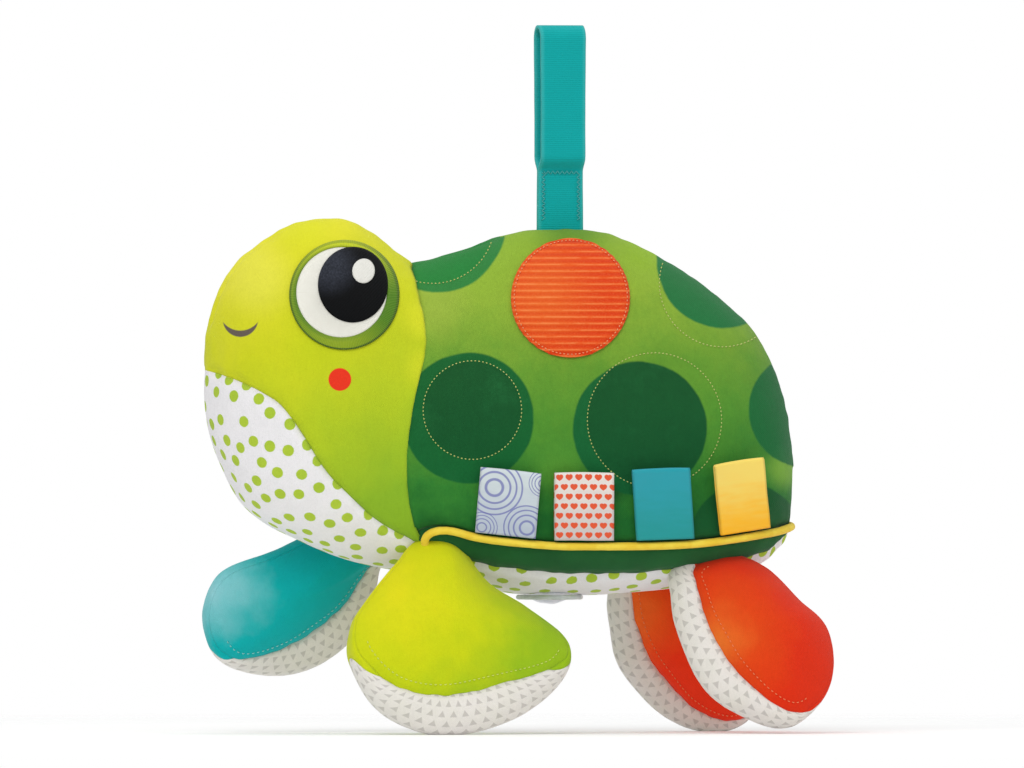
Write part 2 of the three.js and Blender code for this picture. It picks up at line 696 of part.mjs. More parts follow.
function flipperFrame(spec) {
  const splay = THREE.MathUtils.degToRad(spec.splay);
  const forward = new THREE.Vector3(1, 0, 0);
  const down = new THREE.Vector3(0, spec.side * Math.sin(splay), -Math.cos(splay));
  const outward = new THREE.Vector3(0, spec.side * Math.cos(splay), Math.sin(splay));
  return { forward, down, outward };
}
function flipperGrid(spec) {
  const { forward, down, outward } = flipperFrame(spec);
  const hub = root(spec);
  const rings = paddleRings(spec.shares).map((ring) => ring.map((p) => hub.clone()
    .addScaledVector(forward, p.x).addScaledVector(down, p.y).addScaledVector(outward, p.z)));
  const lowest = Math.min(...rings.flat().map((p) => p.z));
  const stretch = spec.stands ? (hub.z + footFlat) / (hub.z - lowest) : 1;
  rings.flat().forEach((p) => {
    p.z = hub.z - (hub.z - p.z) * stretch;
  });
  return rings;
}

// What a flipper's pieces are cut by: the body turned about the flipper's hinge through its swing
function swungBody(spec) {
  const forms = [shell, head].map((form) => form.grown(swingClearance));
  const overNeckGap = [forms[0].translate(-gap, 0, 0), forms[1].translate(gap, 0, 0)];
  const body = wasm.Manifold.union([...forms, ...overNeckGap]);
  const hub = root(spec);
  const [first, last] = [inwardSwing - swingOverrun, outwardSwing + swingOverrun];
  const swings = Array.from({ length: swingSteps + 1 }, (_, n) => first + ((last - first) * n) / swingSteps);
  return wasm.Manifold.union(swings.map((degrees) => body.translate(-hub.x, -hub.y, -hub.z)
    .rotate(-spec.side * degrees, 0, 0).translate(hub.x, hub.y, hub.z)));
}
function aboveFloor(manifold) {
  return manifold.trimByPlane([0, 0, 1], 0);
}
// Rows of the paddle's grid between which each piece lies. The strip between the two colour panels is
// the sole along part of the rim, and coloured fabric along the rest
const outerRows = [0, 2];
const stripRows = [2, 6];
const innerRows = [6, 8];

function addFlipper(spec) {
  const outer = flipperGrid(spec);
  const normals = paddleNormals(outer);
  const cover = { outer, inner: offsetGrid(outer, normals, -skin) };
  const cutter = swungBody(spec);
  const soleColumns = spec.soleShares.map((share) => share * flipperSamples);
  const sideColumns = [soleColumns[1], soleColumns[0] + flipperSamples];
  const add = (piece, geometry, colour) => {
    const fitted = aboveFloor(solid(geometry).subtract(cutter));
    place(`${spec.name}_flipper_${piece}`, geometryOf(fitted), fabric(colour));
  };
  add("filling", bodyOf(offsetGrid(outer, normals, -skin - gap)), "#efeee8");
  add("outer_panel", patchOf(cover, outerRows), spec.colour);
  add("inner_panel", patchOf(cover, innerRows), spec.colour);
  add("side_strip", patchOf(cover, stripRows, sideColumns), spec.colour);
  add("sole", patchOf(cover, stripRows, soleColumns), "#e6e2dc");
}

addBody();
addPiping();
addPatches();
addEyes();
addTags();
const hangPoint = addStrap();
addMirror();
flippers.forEach(addFlipper);

// The origin is where the toy hangs, inside the strap's loop
turtle.position.copy(hangPoint).negate();

export default turtle;
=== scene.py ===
import json
import math

import bmesh
import bpy
import numpy as np
from mathutils import Matrix, Vector, noise
from mathutils.bvhtree import BVHTree


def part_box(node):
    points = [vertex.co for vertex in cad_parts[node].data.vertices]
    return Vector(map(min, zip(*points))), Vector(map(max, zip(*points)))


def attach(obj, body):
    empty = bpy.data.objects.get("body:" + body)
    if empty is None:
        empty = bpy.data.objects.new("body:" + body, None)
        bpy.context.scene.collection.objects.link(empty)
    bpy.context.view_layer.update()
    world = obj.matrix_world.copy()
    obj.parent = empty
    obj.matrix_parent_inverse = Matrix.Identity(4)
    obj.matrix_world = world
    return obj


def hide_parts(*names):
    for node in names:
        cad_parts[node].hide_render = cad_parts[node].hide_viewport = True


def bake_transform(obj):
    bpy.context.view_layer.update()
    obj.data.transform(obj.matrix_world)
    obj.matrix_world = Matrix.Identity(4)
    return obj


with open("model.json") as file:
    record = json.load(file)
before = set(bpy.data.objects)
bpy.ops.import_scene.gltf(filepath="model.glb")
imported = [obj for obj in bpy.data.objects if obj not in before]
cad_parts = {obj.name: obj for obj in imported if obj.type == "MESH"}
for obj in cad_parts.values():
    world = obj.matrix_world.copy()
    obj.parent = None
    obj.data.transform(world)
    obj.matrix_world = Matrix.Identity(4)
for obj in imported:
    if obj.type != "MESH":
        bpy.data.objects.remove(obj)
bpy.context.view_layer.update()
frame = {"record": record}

# Sizes, in metres, as the part's source has them
MM = 0.001
BACK_HEIGHT = 212 * MM
SHELL_LENGTH = 164 * MM
SHELL_HALF_WIDTH = 45 * MM
HEAD_LENGTH = 91.5 * MM
HEAD_HALF_WIDTH = 39 * MM
NECK_SWEEP = 11 * MM
REAR_TUCK = 3 * MM
SKIN = 1 * MM
GAP = 0.3 * MM
UPPER_ROUNDNESS = 2
LOWER_ROUNDNESS = 2.3
FLIPPER_REACH = 75 * MM
FLIPPER_PUFF = 17 * MM
FLIPPER_FLAT = 0.5 * MM
TAG_WIDTH = 25.6 * MM
STRAP_WIDTH = 19.5 * MM
STRAP_LENGTH = 85 * MM
STRAP_SEWN = 22 * MM
STRAP_OPENING = 9 * MM
NECK_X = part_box("shell_panel_left")[1][0] + GAP / 2 - SHELL_LENGTH
SOLE_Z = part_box("front_left_flipper_sole")[0][2]

# Drawn a little apart from the solids: the cord's thickness, the strap's, and the covers' overlap at the neck
PIPING_RADIUS = 1.7 * MM
STRAP_PLY = 1.5 * MM
NECK_LAP = 0.4 * MM

# The photograph: how many metres one of its pixels covers, and where it is centred
PIXEL = 0.42 * MM
NECK_PIXEL = 417
FLOOR_PIXEL = 733
VIEW_TURN = math.radians(15)
CAMERA_DISTANCE = 12.0

# Sections from the neck to the far end: the length's share; the heights of the ridge, the widest line
# and the seams below, as shares of the back's height; the half width's share
SHELL_SHARES = [
    [0, 0.931, 0.594, 0.396, 0.373, 0.316, 0.865],
    [0.06, 0.941, 0.575, 0.408, 0.354, 0.304, 0.89],
    [0.15, 0.961, 0.557, 0.39, 0.333, 0.294, 0.923],
    [0.26, 0.991, 0.538, 0.379, 0.32, 0.276, 0.967],
    [0.38, 1, 0.533, 0.373, 0.312, 0.274, 0.996],
    [0.5, 0.993, 0.528, 0.373, 0.311, 0.275, 1],
    [0.61, 0.96, 0.524, 0.374, 0.316, 0.282, 0.981],
    [0.71, 0.915, 0.524, 0.378, 0.325, 0.29, 0.938],
    [0.8, 0.862, 0.519, 0.386, 0.335, 0.303, 0.856],
    [0.875, 0.808, 0.514, 0.394, 0.343, 0.318, 0.721],
    [0.93, 0.741, 0.505, 0.4, 0.358, 0.337, 0.558],
    [0.97, 0.665, 0.491, 0.406, 0.377, 0.363, 0.356],
    [0.992, 0.585, 0.481, 0.409, 0.392, 0.38, 0.163],
    [1, 0.528, 0.462, 0.411, 0.402, 0.396, 0],
]
HEAD_SHARES = [
    [0, 0.931, 0.594, 0.368, 0.316, 0.999],
    [0.1, 0.961, 0.604, 0.393, 0.321, 0.978],
    [0.2, 0.993, 0.618, 0.422, 0.33, 0.984],
    [0.32, 1.019, 0.637, 0.467, 0.344, 1],
    [0.45, 1.02, 0.656, 0.517, 0.363, 0.996],
    [0.58, 1.008, 0.67, 0.588, 0.388, 0.956],
    [0.7, 0.979, 0.682, 0.647, 0.417, 0.873],
    [0.8, 0.95, 0.693, 0.675, 0.454, 0.756],
    [0.88, 0.913, 0.703, 0.692, 0.508, 0.611],
    [0.94, 0.868, 0.712, 0.704, 0.561, 0.433],
    [0.98, 0.818, 0.719, 0.712, 0.613, 0.222],
    [1, 0.778, 0.722, 0.719, 0.665, 0],
]
# The neck's seam: pixels of the photograph that it passes, from the ridge down
NECK_SEAM = [(413, 268), (417, 281), (421, 298), (426, 318), (428, 341), (426, 359), (422, 376), (417, 396),
             (411, 433), (409, 454), (409, 483), (411, 505), (415.6, 527.5), (420, 537)]
# Flippers' outlines: along the body and down from the hinge, the band's bulge and half its thickness,
# as shares of the reach
FRONT_LEFT_SHARES = [
    [0.02, -0.14, 0.01, 0.04], [-0.16, -0.08, 0.01, 0.05], [-0.285, 0.05, 0.01, 0.05],
    [-0.49, 0.28, 0.01, 0.05], [-0.565, 0.4, 0.01, 0.06], [-0.57, 0.58, 0.03, 0.09],
    [-0.4, 0.785, 0.1, 0.12], [-0.1, 0.85, 0.17, 0.13], [0.3, 0.765, 0.16, 0.13],
    [0.6, 0.645, 0.05, 0.09], [0.64, 0.48, 0.01, 0.05], [0.42, 0.295, 0.01, 0.05],
    [0.215, 0.15, 0.01, 0.05],
]
FRONT_RIGHT_SHARES = [
    [-0.22, -0.17, 0.01, 0.05], [-0.44, -0.08, 0.01, 0.05], [-0.625, 0.01, 0.01, 0.05],
    [-0.905, 0.13, 0.01, 0.05], [-0.99, 0.34, 0.01, 0.06], [-0.94, 0.52, 0.03, 0.09],
    [-0.815, 0.6, 0.08, 0.12], [-0.56, 0.536, 0.2, 0.13], [-0.34, 0.4, 0.23, 0.13],
    [-0.2, 0.262, 0.18, 0.11], [-0.09, 0.08, 0.1, 0.08], [0, -0.06, 0.01, 0.05],
]
REAR_LEFT_SHARES = [
    [0.01, -0.06, 0.01, 0.05], [-0.2, 0.02, 0.1, 0.08], [-0.21, 0.16, 0.115, 0.11],
    [-0.18, 0.37, 0.13, 0.12], [-0.06, 0.65, 0.15, 0.12], [0.15, 0.87, 0.075, 0.12],
    [0.33, 0.925, 0.015, 0.08], [0.49, 0.79, 0.01, 0.05], [0.56, 0.6, 0.01, 0.05],
    [0.54, 0.375, 0.01, 0.05], [0.4, 0.215, 0.01, 0.05], [0.22, 0.02, 0.01, 0.05],
]
REAR_RIGHT_SHARES = [
    [0.01, -0.06, 0.01, 0.05], [-0.22, 0.02, 0.09, 0.08], [-0.235, 0.14, 0.1, 0.1],
    [-0.2, 0.3, 0.12, 0.12], [-0.09, 0.53, 0.16, 0.12], [0.12, 0.762, 0.15, 0.12],
    [0.31, 0.875, 0.12, 0.12], [0.47, 0.905, 0.06, 0.1], [0.57, 0.83, 0.015, 0.06],
    [0.59, 0.62, 0.01, 0.05], [0.55, 0.39, 0.01, 0.05], [0.4, 0.215, 0.01, 0.05],
    [0.22, 0.02, 0.01, 0.05],
]


def seen(across, down):
    """A pixel of the photograph as a place across the view and a height."""
    return (across - NECK_PIXEL) * PIXEL + NECK_X * math.cos(VIEW_TURN), (FLOOR_PIXEL - down) * PIXEL + SOLE_Z


def ink(red, green, blue):
    """A printed or dyed colour, given as it shows, from 0 to 255."""
    shown = [value / 255 for value in (red, green, blue)]
    linear = [v / 12.92 if v <= 0.04045 else ((v + 0.055) / 1.055) ** 2.4 for v in shown]
    return (*linear, 1)


# Shader maths
def math_node(operation, reflected=False):
    """A method that makes one Math node from a wire and what follows it."""
    def method(wire, *others):
        values = (*others, wire) if reflected else (wire, *others)
        inputs = {f"_{number}": value for number, value in enumerate(values)}
        return Wire(wire.cloth, wire.cloth.node("Math", {"operation": operation}, **inputs).outputs[0])
    return method


class Wire:
    """A number in a shader, which sums and products of Python turn into Math nodes."""

    def __init__(self, cloth, socket):
        self.cloth, self.socket = cloth, socket

    __add__ = __radd__ = math_node("ADD")
    __mul__ = __rmul__ = math_node("MULTIPLY")
    __sub__, __rsub__ = math_node("SUBTRACT"), math_node("SUBTRACT", reflected=True)
    __truediv__ = math_node("DIVIDE")
    sine, cosine, turn = math_node("SINE"), math_node("COSINE"), math_node("ARCTAN2")
    size, root, power = math_node("ABSOLUTE"), math_node("SQRT"), math_node("POWER")
    floor, fraction = math_node("FLOOR"), math_node("FRACT")
    remainder, folded = math_node("MODULO"), math_node("PINGPONG")

    def waves(self, pitch):
        """Rises and falls between 0 and 1, once in every pitch."""
        return (self * (2 * math.pi / pitch)).sine() * 0.5 + 0.5


class Cloth:
    """One material: the nodes that draw it, and a point's place across and up the photographed view."""

    def __init__(self, name, **constants):
        self.material = bpy.data.materials.new(name)
        self.material.use_nodes = True
        self.tree = self.material.node_tree
        self.shader = self.tree.nodes["Principled BSDF"]
        for socket, value in constants.items():
            self.shader.inputs[socket.replace("_", " ")].default_value = value
        self.spot = self.node("TexCoord").outputs["Object"]
        x, y, self.up = self.parts(self.spot)
        self.across = x * math.cos(VIEW_TURN) + y.size() * math.sin(VIEW_TURN)

    def node(self, kind, settings=None, **sockets):
        """A node; its sockets are given by name, or by number after an underscore."""
        made = self.tree.nodes.new("ShaderNode" + kind)
        for key, value in (settings or {}).items():
            setattr(made, key, value)
        for key, value in sockets.items():
            index = int(key[1:]) if key[1:].isdigit() else key.replace("_", " ")
            self.join(made.inputs[index], value)
        return made

    def join(self, socket, value):
        if isinstance(value, Wire):
            value = value.socket
        if isinstance(value, bpy.types.NodeSocket):
            self.tree.links.new(value, socket)
        else:
            socket.default_value = value

    def parts(self, vector):
        return [Wire(self, out) for out in self.node("SeparateXYZ", Vector=vector).outputs]

    def step(self, value, low, high):
        """0 below low, 1 above high and a smooth rise between them."""
        made = self.node("MapRange", {"interpolation_type": "SMOOTHSTEP"},
                         Value=value, From_Min=low, From_Max=high)
        return Wire(self, made.outputs[0])

    def away(self, x, y):
        """How far a point lies, in the view, from a pixel of the photograph."""
        u, z = seen(x, y)
        du, dz = self.across - u, self.up - z
        return (du * du + dz * dz).root()

    def near(self, x, y, inner, outer):
        """1 about a pixel, falling to 0 between two radii in pixels."""
        return 1 - self.step(self.away(x, y), inner * PIXEL, outer * PIXEL)

    def flat(self):
        """A point's place on the cut piece, in metres along and across it."""
        return self.parts(self.node("UVMap", {"uv_map": "Cut"}).outputs[0])[:2]

    def grain(self, size, spot=None, stretch=None, detail=2, rough=0.5):
        """Noise from 0 to 1 whose patches are about the given size, shorter where stretch is large."""
        spot = spot or self.spot
        if stretch:
            spot = self.node("VectorMath", {"operation": "MULTIPLY"}, _0=spot, _1=stretch).outputs[0]
        made = self.node("TexNoise", Vector=spot, Scale=1 / size, Detail=detail, Roughness=rough)
        return Wire(self, made.outputs["Fac"])

    def mix(self, share, first, second, mode="MIX"):
        settings = {"data_type": "RGBA", "blend_type": mode}
        return self.node("Mix", settings, _0=share, _6=first, _7=second).outputs[2]

    def ramp(self, share, stops):
        """Colours between stops, each a place from 0 to 1 and a colour from 0 to 255."""
        made = self.node("ValToRGB", Fac=share)
        elements = made.color_ramp.elements
        while len(elements) < len(stops):
            elements.new(1)
        for element, (place, colour) in zip(elements, stops):
            element.position, element.color = place, ink(*colour)
        return made.outputs[0]

    def bump(self, height, depth, strength):
        return self.node("Bump", Height=height, Distance=depth, Strength=strength).outputs[0]

    def finish(self, colour, rough, normal=None, metal=None):
        looks = {"Base Color": colour, "Roughness": rough, "Normal": normal, "Metallic": metal}
        for socket, value in looks.items():
            if value is not None:
                self.join(self.shader.inputs[socket], value)
        return self.material


def nap(cloth, colour, fibre=0.55 * MM, lift=0.35 * MM, shade=0.1, weave=True):
    """Brushed fabric: short pile with soft upright streaks, slightly mottled."""
    fine = cloth.grain(fibre, detail=3, rough=0.7)
    soft = cloth.grain(9 * MM, detail=3)
    brushed = cloth.grain(1.4 * MM, stretch=(1, 1, 0.3), detail=3, rough=0.65)
    dark = cloth.mix(1, colour, (0.72, 0.74, 0.72, 1), "MULTIPLY")
    for share in (cloth.step(fine, 0.35, 0.7) * 2, cloth.step(soft, 0.35, 0.75),
                  cloth.step(brushed, 0.4, 0.75) * 1.4):
        colour = cloth.mix(share * shade, colour, dark)
    height = fine
    if weave:
        turns = 2 * math.pi / (0.9 * MM)
        height = fine + (cloth.up * turns).sine() * (cloth.across * turns).sine() * 0.18
    return cloth.finish(colour, cloth.step(fine, 0, 1) * 0.2 + 0.7, cloth.bump(height, lift, 0.55))


def fabric(name):
    return Cloth(name, Sheen_Weight=0.08, Sheen_Roughness=0.5, Specular_IOR_Level=0.12)


def fibre_filling():
    white = ink(240, 239, 232)
    return nap(fabric("fibre_filling"), white, fibre=1.5 * MM, lift=1 * MM, shade=0.16, weave=False)


# The shell's print and quilting in pixels: spots with their outer and inner colours, rings of stitches,
# soft patches of colour, and the colours from the ridge down: the print's greens, with painted shade deepening
# at the foot
SPOTS = [
    (437, 224, 69, (40, 128, 62), (8, 126, 56)), (468.5, 418, 65.5, (8, 96, 46), (4, 76, 38)),
    (639.4, 428.3, 67, (10, 98, 50), (4, 76, 38)), (723, 262, 66.5, (24, 120, 66), (18, 114, 62)),
    (806, 410, 58, (14, 106, 54), (14, 106, 54)), (746, 540, 57, (14, 88, 42), (14, 88, 42)),
]
STITCHED_RINGS = [(433, 222, 62), (472.5, 410, 49), (654, 420, 67), (722, 284, 63)]
SHELL_WASHES = [
    (572, 226, 44, (98, 146, 40)), (652, 240, 34, (150, 190, 40)), (786, 468, 24, (132, 182, 60)),
    (430, 300, 46, (158, 184, 66)), (612, 486, 20, (14, 76, 34)), (560, 470, 30, (88, 154, 50)),
]
# The greens darken towards the foot: the print's gradient with painted shade from the tags over it
SHELL_GREENS_AND_SHADE = [(0, (142, 178, 50)), (0.24, (146, 180, 56)), (0.5, (104, 156, 48)),
                (0.68, (82, 146, 46)), (0.88, (50, 128, 46)), (1, (24, 102, 38))]


def washed(cloth, base, washes, share):
    """The base colour with soft-edged patches laid over it."""
    for x, y, size, tint in washes:
        base = cloth.mix(cloth.near(x, y, size * 0.2, size * 1.2) * share, base, ink(*tint))
    return base


def shell_print():
    cloth = fabric("shell_print")
    wash = cloth.grain(15 * MM, detail=4, rough=0.6) - 0.5
    streaks = cloth.grain(5 * MM, detail=3, rough=0.6) - 0.5
    (left, low), (right, top) = seen(412, 533), seen(795, 225)
    slope = 1 - (cloth.up - low) / (top - low) + (cloth.across - left) * (0.06 / (right - left))
    # Darker towards the foot: painted shade over the print's greens
    base = cloth.ramp(slope + wash * 0.24 + streaks * 0.1, SHELL_GREENS_AND_SHADE)
    base = washed(cloth, base, SHELL_WASHES, 0.8)
    quilted = sum(cloth.near(x, y, radius - 2, radius + 2) for x, y, radius in STITCHED_RINGS)
    for x, y, radius, outer, inner in SPOTS:
        dark = cloth.mix(quilted * 0.8 + wash * 0.5, ink(*outer), ink(*inner))
        dark = cloth.mix(cloth.step(wash, 0, 0.3) * 0.35, dark, ink(36, 122, 66))
        away = cloth.away(x, y) + wash * 1.6 * MM
        inside = 1 - cloth.step(away, (radius - 1.6) * PIXEL, (radius + 1) * PIXEL)
        base = cloth.mix(inside * 0.96, base, dark)
    return nap(cloth, base, shade=0.22)


def rim_print():
    cloth = fabric("rim_print")
    base = cloth.mix(cloth.grain(14 * MM, detail=4), ink(24, 78, 40), ink(36, 106, 52))
    return nap(cloth, base, shade=0.16)


# The head's print and painted highlights in pixels; the smile is a disc less a second one above it
CHEEK = (340.8, 379.5, 11.3)
SMILE = ((241.7, 319.4, 17.7), (241.7, 308.7, 22.1))
# Soft patches: the first three are painted highlights, at the upper left and along the neck's edge; the last
# two are tints of the print
HEAD_TINTS_AND_HIGHLIGHTS = [(258, 278, 42, (232, 228, 84)), (426, 318, 26, (226, 226, 44)), (426, 368, 24, (222, 224, 40)),
               (300, 222, 40, (214, 218, 28)), (318, 352, 34, (194, 208, 24))]
HEAD_LIMES = [(0, (140, 182, 40)), (0.3, (180, 202, 34)), (0.62, (206, 212, 30)), (1, (226, 220, 46))]


def head_print():
    cloth = fabric("head_print")
    (left, low), (right, top) = seen(205, 540), seen(425, 220)
    slope = (cloth.up - low) / (top - low) - (cloth.across - left) * (0.3 / (right - left)) + 0.12
    slope = slope + (cloth.grain(20 * MM, detail=3) - 0.5) * 0.22
    # Tints of the print and painted highlights laid over the ramp
    base = washed(cloth, cloth.ramp(slope, HEAD_LIMES), HEAD_TINTS_AND_HIGHLIGHTS, 0.55)
    cheek, smile, above = [cloth.near(x, y, r - 0.6, r + 0.6) for x, y, r in (CHEEK, *SMILE)]
    base = cloth.mix(cheek, base, ink(234, 54, 30))
    base = cloth.mix(smile * (1 - above) * 0.95, base, ink(92, 78, 84))
    return nap(cloth, base)


DOT_RADIUS = 2.5 * MM
DOT_SPACING = 7.6 * MM


def dotted_cotton():
    cloth = fabric("dotted_cotton")
    away = Wire(cloth, cloth.node("Attribute", {"attribute_name": "Dot distance"}).outputs["Fac"])
    away = away + (cloth.grain(1.2 * MM) - 0.5) * 0.3 * MM
    tint = cloth.mix(cloth.grain(12 * MM), ink(158, 192, 18), ink(182, 206, 34))
    dot = 1 - cloth.step(away, DOT_RADIUS * 0.93, DOT_RADIUS * 1.07)
    return nap(cloth, cloth.mix(dot * 0.96, ink(238, 236, 238), tint))


def scatter_dots(piece):
    """Keeps at each point of a piece how far it lies from the nearest of its scattered dots."""
    places = np.array([v.co for v in piece.data.vertices])
    reach = np.full(len(places), np.inf)
    for number in np.random.default_rng(7).permutation(len(places)):
        if reach[number] > DOT_SPACING:
            reach = np.minimum(reach, np.linalg.norm(places - places[number], axis=1))
    piece.data.attributes.new("Dot distance", "FLOAT", "POINT").data.foreach_set("value", reach)


def cells(across, up, pitch, tall):
    """Places in the cells of a pattern with offset rows: across from each middle, and up."""
    shift = (up / tall).floor().size().remainder(2) * 0.5
    return (across / pitch + shift + 100).fraction() - 0.5, (up / tall + 100).fraction()


def sole_print():
    """White fleece with rows of small grey triangles."""
    cloth = fabric("sole_print")
    x, y = cells(*cloth.flat(), 6.4 * MM, 4.4 * MM)
    inside = cloth.step((y - 0.1) * 0.46 - x.size(), -0.02, 0.06) * (1 - cloth.step(y, 0.74, 0.84))
    warm = cloth.grain(16 * MM)
    base = cloth.mix(warm, ink(228, 225, 214), ink(234, 228, 226))
    return nap(cloth, cloth.mix(inside * 0.85, base, cloth.mix(warm, ink(196, 194, 182), ink(198, 190, 190))))


# Each flipper's plush colour with painted light at a pixel and painted shade outwards from it, and the pixels
# that they spread over
FLIPPER_LIGHT_AND_SHADE = {
    "front_left": ((400, 590), 150, (224, 218, 18), (200, 210, 14), (152, 190, 24)),
    "front_right": ((244, 590), 120, (140, 202, 208), (0, 174, 176), (0, 178, 182)),
    "rear_left": ((718, 638), 84, (232, 112, 36), (224, 70, 14), (222, 46, 8)),
    "rear_right": ((644, 618), 70, (250, 122, 44), (252, 92, 26), (248, 56, 16)),
}


def shaded_flipper_plush(name):
    cloth = fabric(f"{name}_plush")
    pixel, reach, *lit_to_shaded = FLIPPER_LIGHT_AND_SHADE[name]
    # The plush's colour, lighter at a pixel and darker outwards: painted light and shade
    share = cloth.away(*pixel) / (reach * PIXEL) + (cloth.grain(12 * MM, detail=3) - 0.5) * 0.4
    return nap(cloth, cloth.ramp(share, list(zip((0, 0.5, 1), lit_to_shaded))))


def corduroy():
    cloth = fabric("orange_corduroy")
    wale = (cloth.up * (2 * math.pi / CORDUROY_PITCH)).cosine() * 0.5 + 0.5
    fine = cloth.grain(0.6 * MM, detail=3, rough=0.7)
    # Painted light: warmer and lighter about a pixel left of the disc's middle
    painted_light_pool = cloth.near(542, 296, 0, 70)
    # Painted shade in the furrows between the wales and painted light on their crests
    base = cloth.mix(wale, cloth.mix(painted_light_pool, ink(212, 56, 10), ink(218, 82, 24)),
                     cloth.mix(painted_light_pool, ink(228, 76, 16), ink(234, 106, 40)))
    streaks = cloth.grain(1.6 * MM, stretch=(0.2, 0.2, 1), detail=4, rough=0.65)
    # Painted highlights along the crests, with random pale flecks of the pile
    crest_highlight = cloth.step(wale, 0.72, 0.98) * cloth.step(streaks, 0.3, 0.6) * 0.4
    base = cloth.mix(cloth.step(fine, 0.4, 0.8) * 0.2 + crest_highlight, base, ink(248, 158, 92))
    return cloth.finish(base, fine * 0.2 + 0.7, cloth.bump(fine, 0.3 * MM, 0.6))


THREAD = 0.55 * MM


def stitch_lines(cloth, direction, centre=None):
    """Ridges of satin stitching with a slight waver, at an angle or as rays from a centre."""
    line = (cloth.up * math.cos(direction) + cloth.across * math.sin(direction)) / THREAD
    if centre:
        u, z = seen(*centre[:2])
        line = (cloth.up - z).turn(cloth.across - u) * (centre[2] * PIXEL / THREAD)
    return (line + cloth.grain(4 * MM) * 0.8).waves(1)


def thread(name, colour, glint, direction=0.4, centre=None):
    """Satin stitching: close bright threads."""
    cloth = Cloth(name, Specular_IOR_Level=0.35, Sheen_Weight=0.05)
    ridge = stitch_lines(cloth, direction, centre)
    base = cloth.mix(ridge * 0.55 + cloth.grain(2.2 * MM) * 0.25, ink(*colour), ink(*glint))
    return cloth.finish(base, ridge * -0.15 + 0.5, cloth.bump(ridge, 0.22 * MM, 0.8))


def eye_ring_thread():
    """Radial stitching: lime at the top and the bottom, dark at its outer edge and in the white's shade."""
    cloth = Cloth("eye_ring_thread", Specular_IOR_Level=0.15, Sheen_Weight=0.05)
    u, z = seen(*EYE[:2])
    turn = (cloth.up - z).turn(cloth.across - u)
    rise, aside = turn.sine(), turn.cosine()
    light = rise * rise * 0.55 + rise * 0.3 - aside * 0.1 + 0.1
    base = cloth.mix(light, ink(60, 116, 14), ink(200, 210, 26))
    rim = 1 - cloth.step((cloth.away(*EYE[:2]) / PIXEL - EYE[2]).size(), 1.2, 2.6)
    base = cloth.mix(rim * (0.75 - rise * 0.3), base, ink(52, 88, 26))
    fold = cloth.near(*EYE_WHITE[:2], EYE_WHITE[2] + 0.5, EYE_WHITE[2] + 4) * (0.5 - aside * 0.5)
    base = cloth.mix(fold * 0.6, base, ink(44, 104, 24))
    ridge = turn.waves(2 * math.pi / 190)
    base = cloth.mix(ridge * 0.16, base, ink(196, 212, 96))
    return cloth.finish(base, ridge * -0.15 + 0.55, cloth.bump(ridge, 0.2 * MM, 0.7))


def pupil_thread():
    """Black satin stitching with a bluish sheen at its upper left."""
    cloth = Cloth("black_thread", Specular_IOR_Level=0.1, Sheen_Weight=0.02)
    ridge = stitch_lines(cloth, 1.2)
    fleck = cloth.step(cloth.grain(0.9 * MM, detail=3, rough=0.7), 0.35, 0.75)
    sheen = cloth.near(330, 266, 8, 36) * (fleck * 0.5 + 0.4)
    base = cloth.mix(sheen, ink(2, 3, 5), ink(62, 66, 78))
    return cloth.finish(base, ridge * -0.15 + 0.6, cloth.bump(ridge, 0.2 * MM, 0.7))


def satin(name, light, dark, pattern=None):
    """Smooth ribbon, lighter at its fold and darker at its foot, which is painted light and shade: fine cross
    threads and a soft gloss.
    """
    cloth = Cloth(name, Specular_IOR_Level=0.35, Sheen_Weight=0.05)
    along, around = cloth.flat()
    ribs = along.waves(0.34 * MM)
    rise = along.folded(RIBBON_RUN)
    drawn = cloth.node("CombineXYZ", X=rise * 5, Y=around).outputs[0]
    wave = cloth.grain(14 * MM, drawn, detail=3)
    # Painted light at the fold, fading to painted shade at the foot
    base = cloth.mix(1 - cloth.step(rise / RIBBON_RUN + (wave - 0.5) * 0.7, 0, 0.95), ink(*light), ink(*dark))
    if pattern:
        base = pattern(cloth, along, around, base)
    selvedge = cloth.step((around - TAG_WIDTH / 2).size(), TAG_WIDTH * 0.46, TAG_WIDTH * 0.48)
    base = cloth.mix(selvedge * 0.3, base, cloth.mix(1, base, (0.6, 0.6, 0.6, 1), "MULTIPLY"))
    return cloth.finish(base, ribs * 0.1 + 0.36, cloth.bump(ribs, 0.06 * MM, 0.5))


# A ribbon's run to its fold, and its ripples' places and reaches as shares of its width
RIBBON_RUN = 30 * MM
RIPPLES = [(0.1, 0.1, 0.27), (0.84, 0.17, 0.4), (0.25, 0.8, 0.49), (1.04, 0.96, 0.24)]


def ripple_pattern(cloth, along, around, base):
    """Sets of thin concentric rings, closer towards the outside, on white ribbon."""
    rise = along.folded(RIBBON_RUN)
    waver = (cloth.grain(6 * MM) - 0.5) * 0.1
    for x, y, reach in RIPPLES:
        du, dv = around - x * TAG_WIDTH, rise - y * TAG_WIDTH
        away = (du * du + dv * dv).root() / (reach * TAG_WIDTH)
        turn = away.power(1.4) * 4 + waver + 0.55
        rings = cloth.step((turn * (2 * math.pi)).sine(), 0.25, 0.85)
        base = cloth.mix(rings * (1 - cloth.step(away, 0.99, 1.03)) * 0.8, base, ink(104, 108, 176))
    return base


def heart_pattern(cloth, along, around, base):
    """Offset rows of small orange hearts on white ribbon."""
    pitch, tall = 4.2 * MM, 4.25 * MM
    half_wide, half_tall, dip = 1.62 * MM, 1.32 * MM, 0.55
    x, y = cells(around, along, pitch, tall)
    x = x * (pitch / half_wide)
    y = (y - 0.5) * (tall / half_tall) - x.size().root() * dip
    return cloth.mix(1 - cloth.step(x * x + y * y, 0.85, 1.1), base, ink(226, 82, 38))


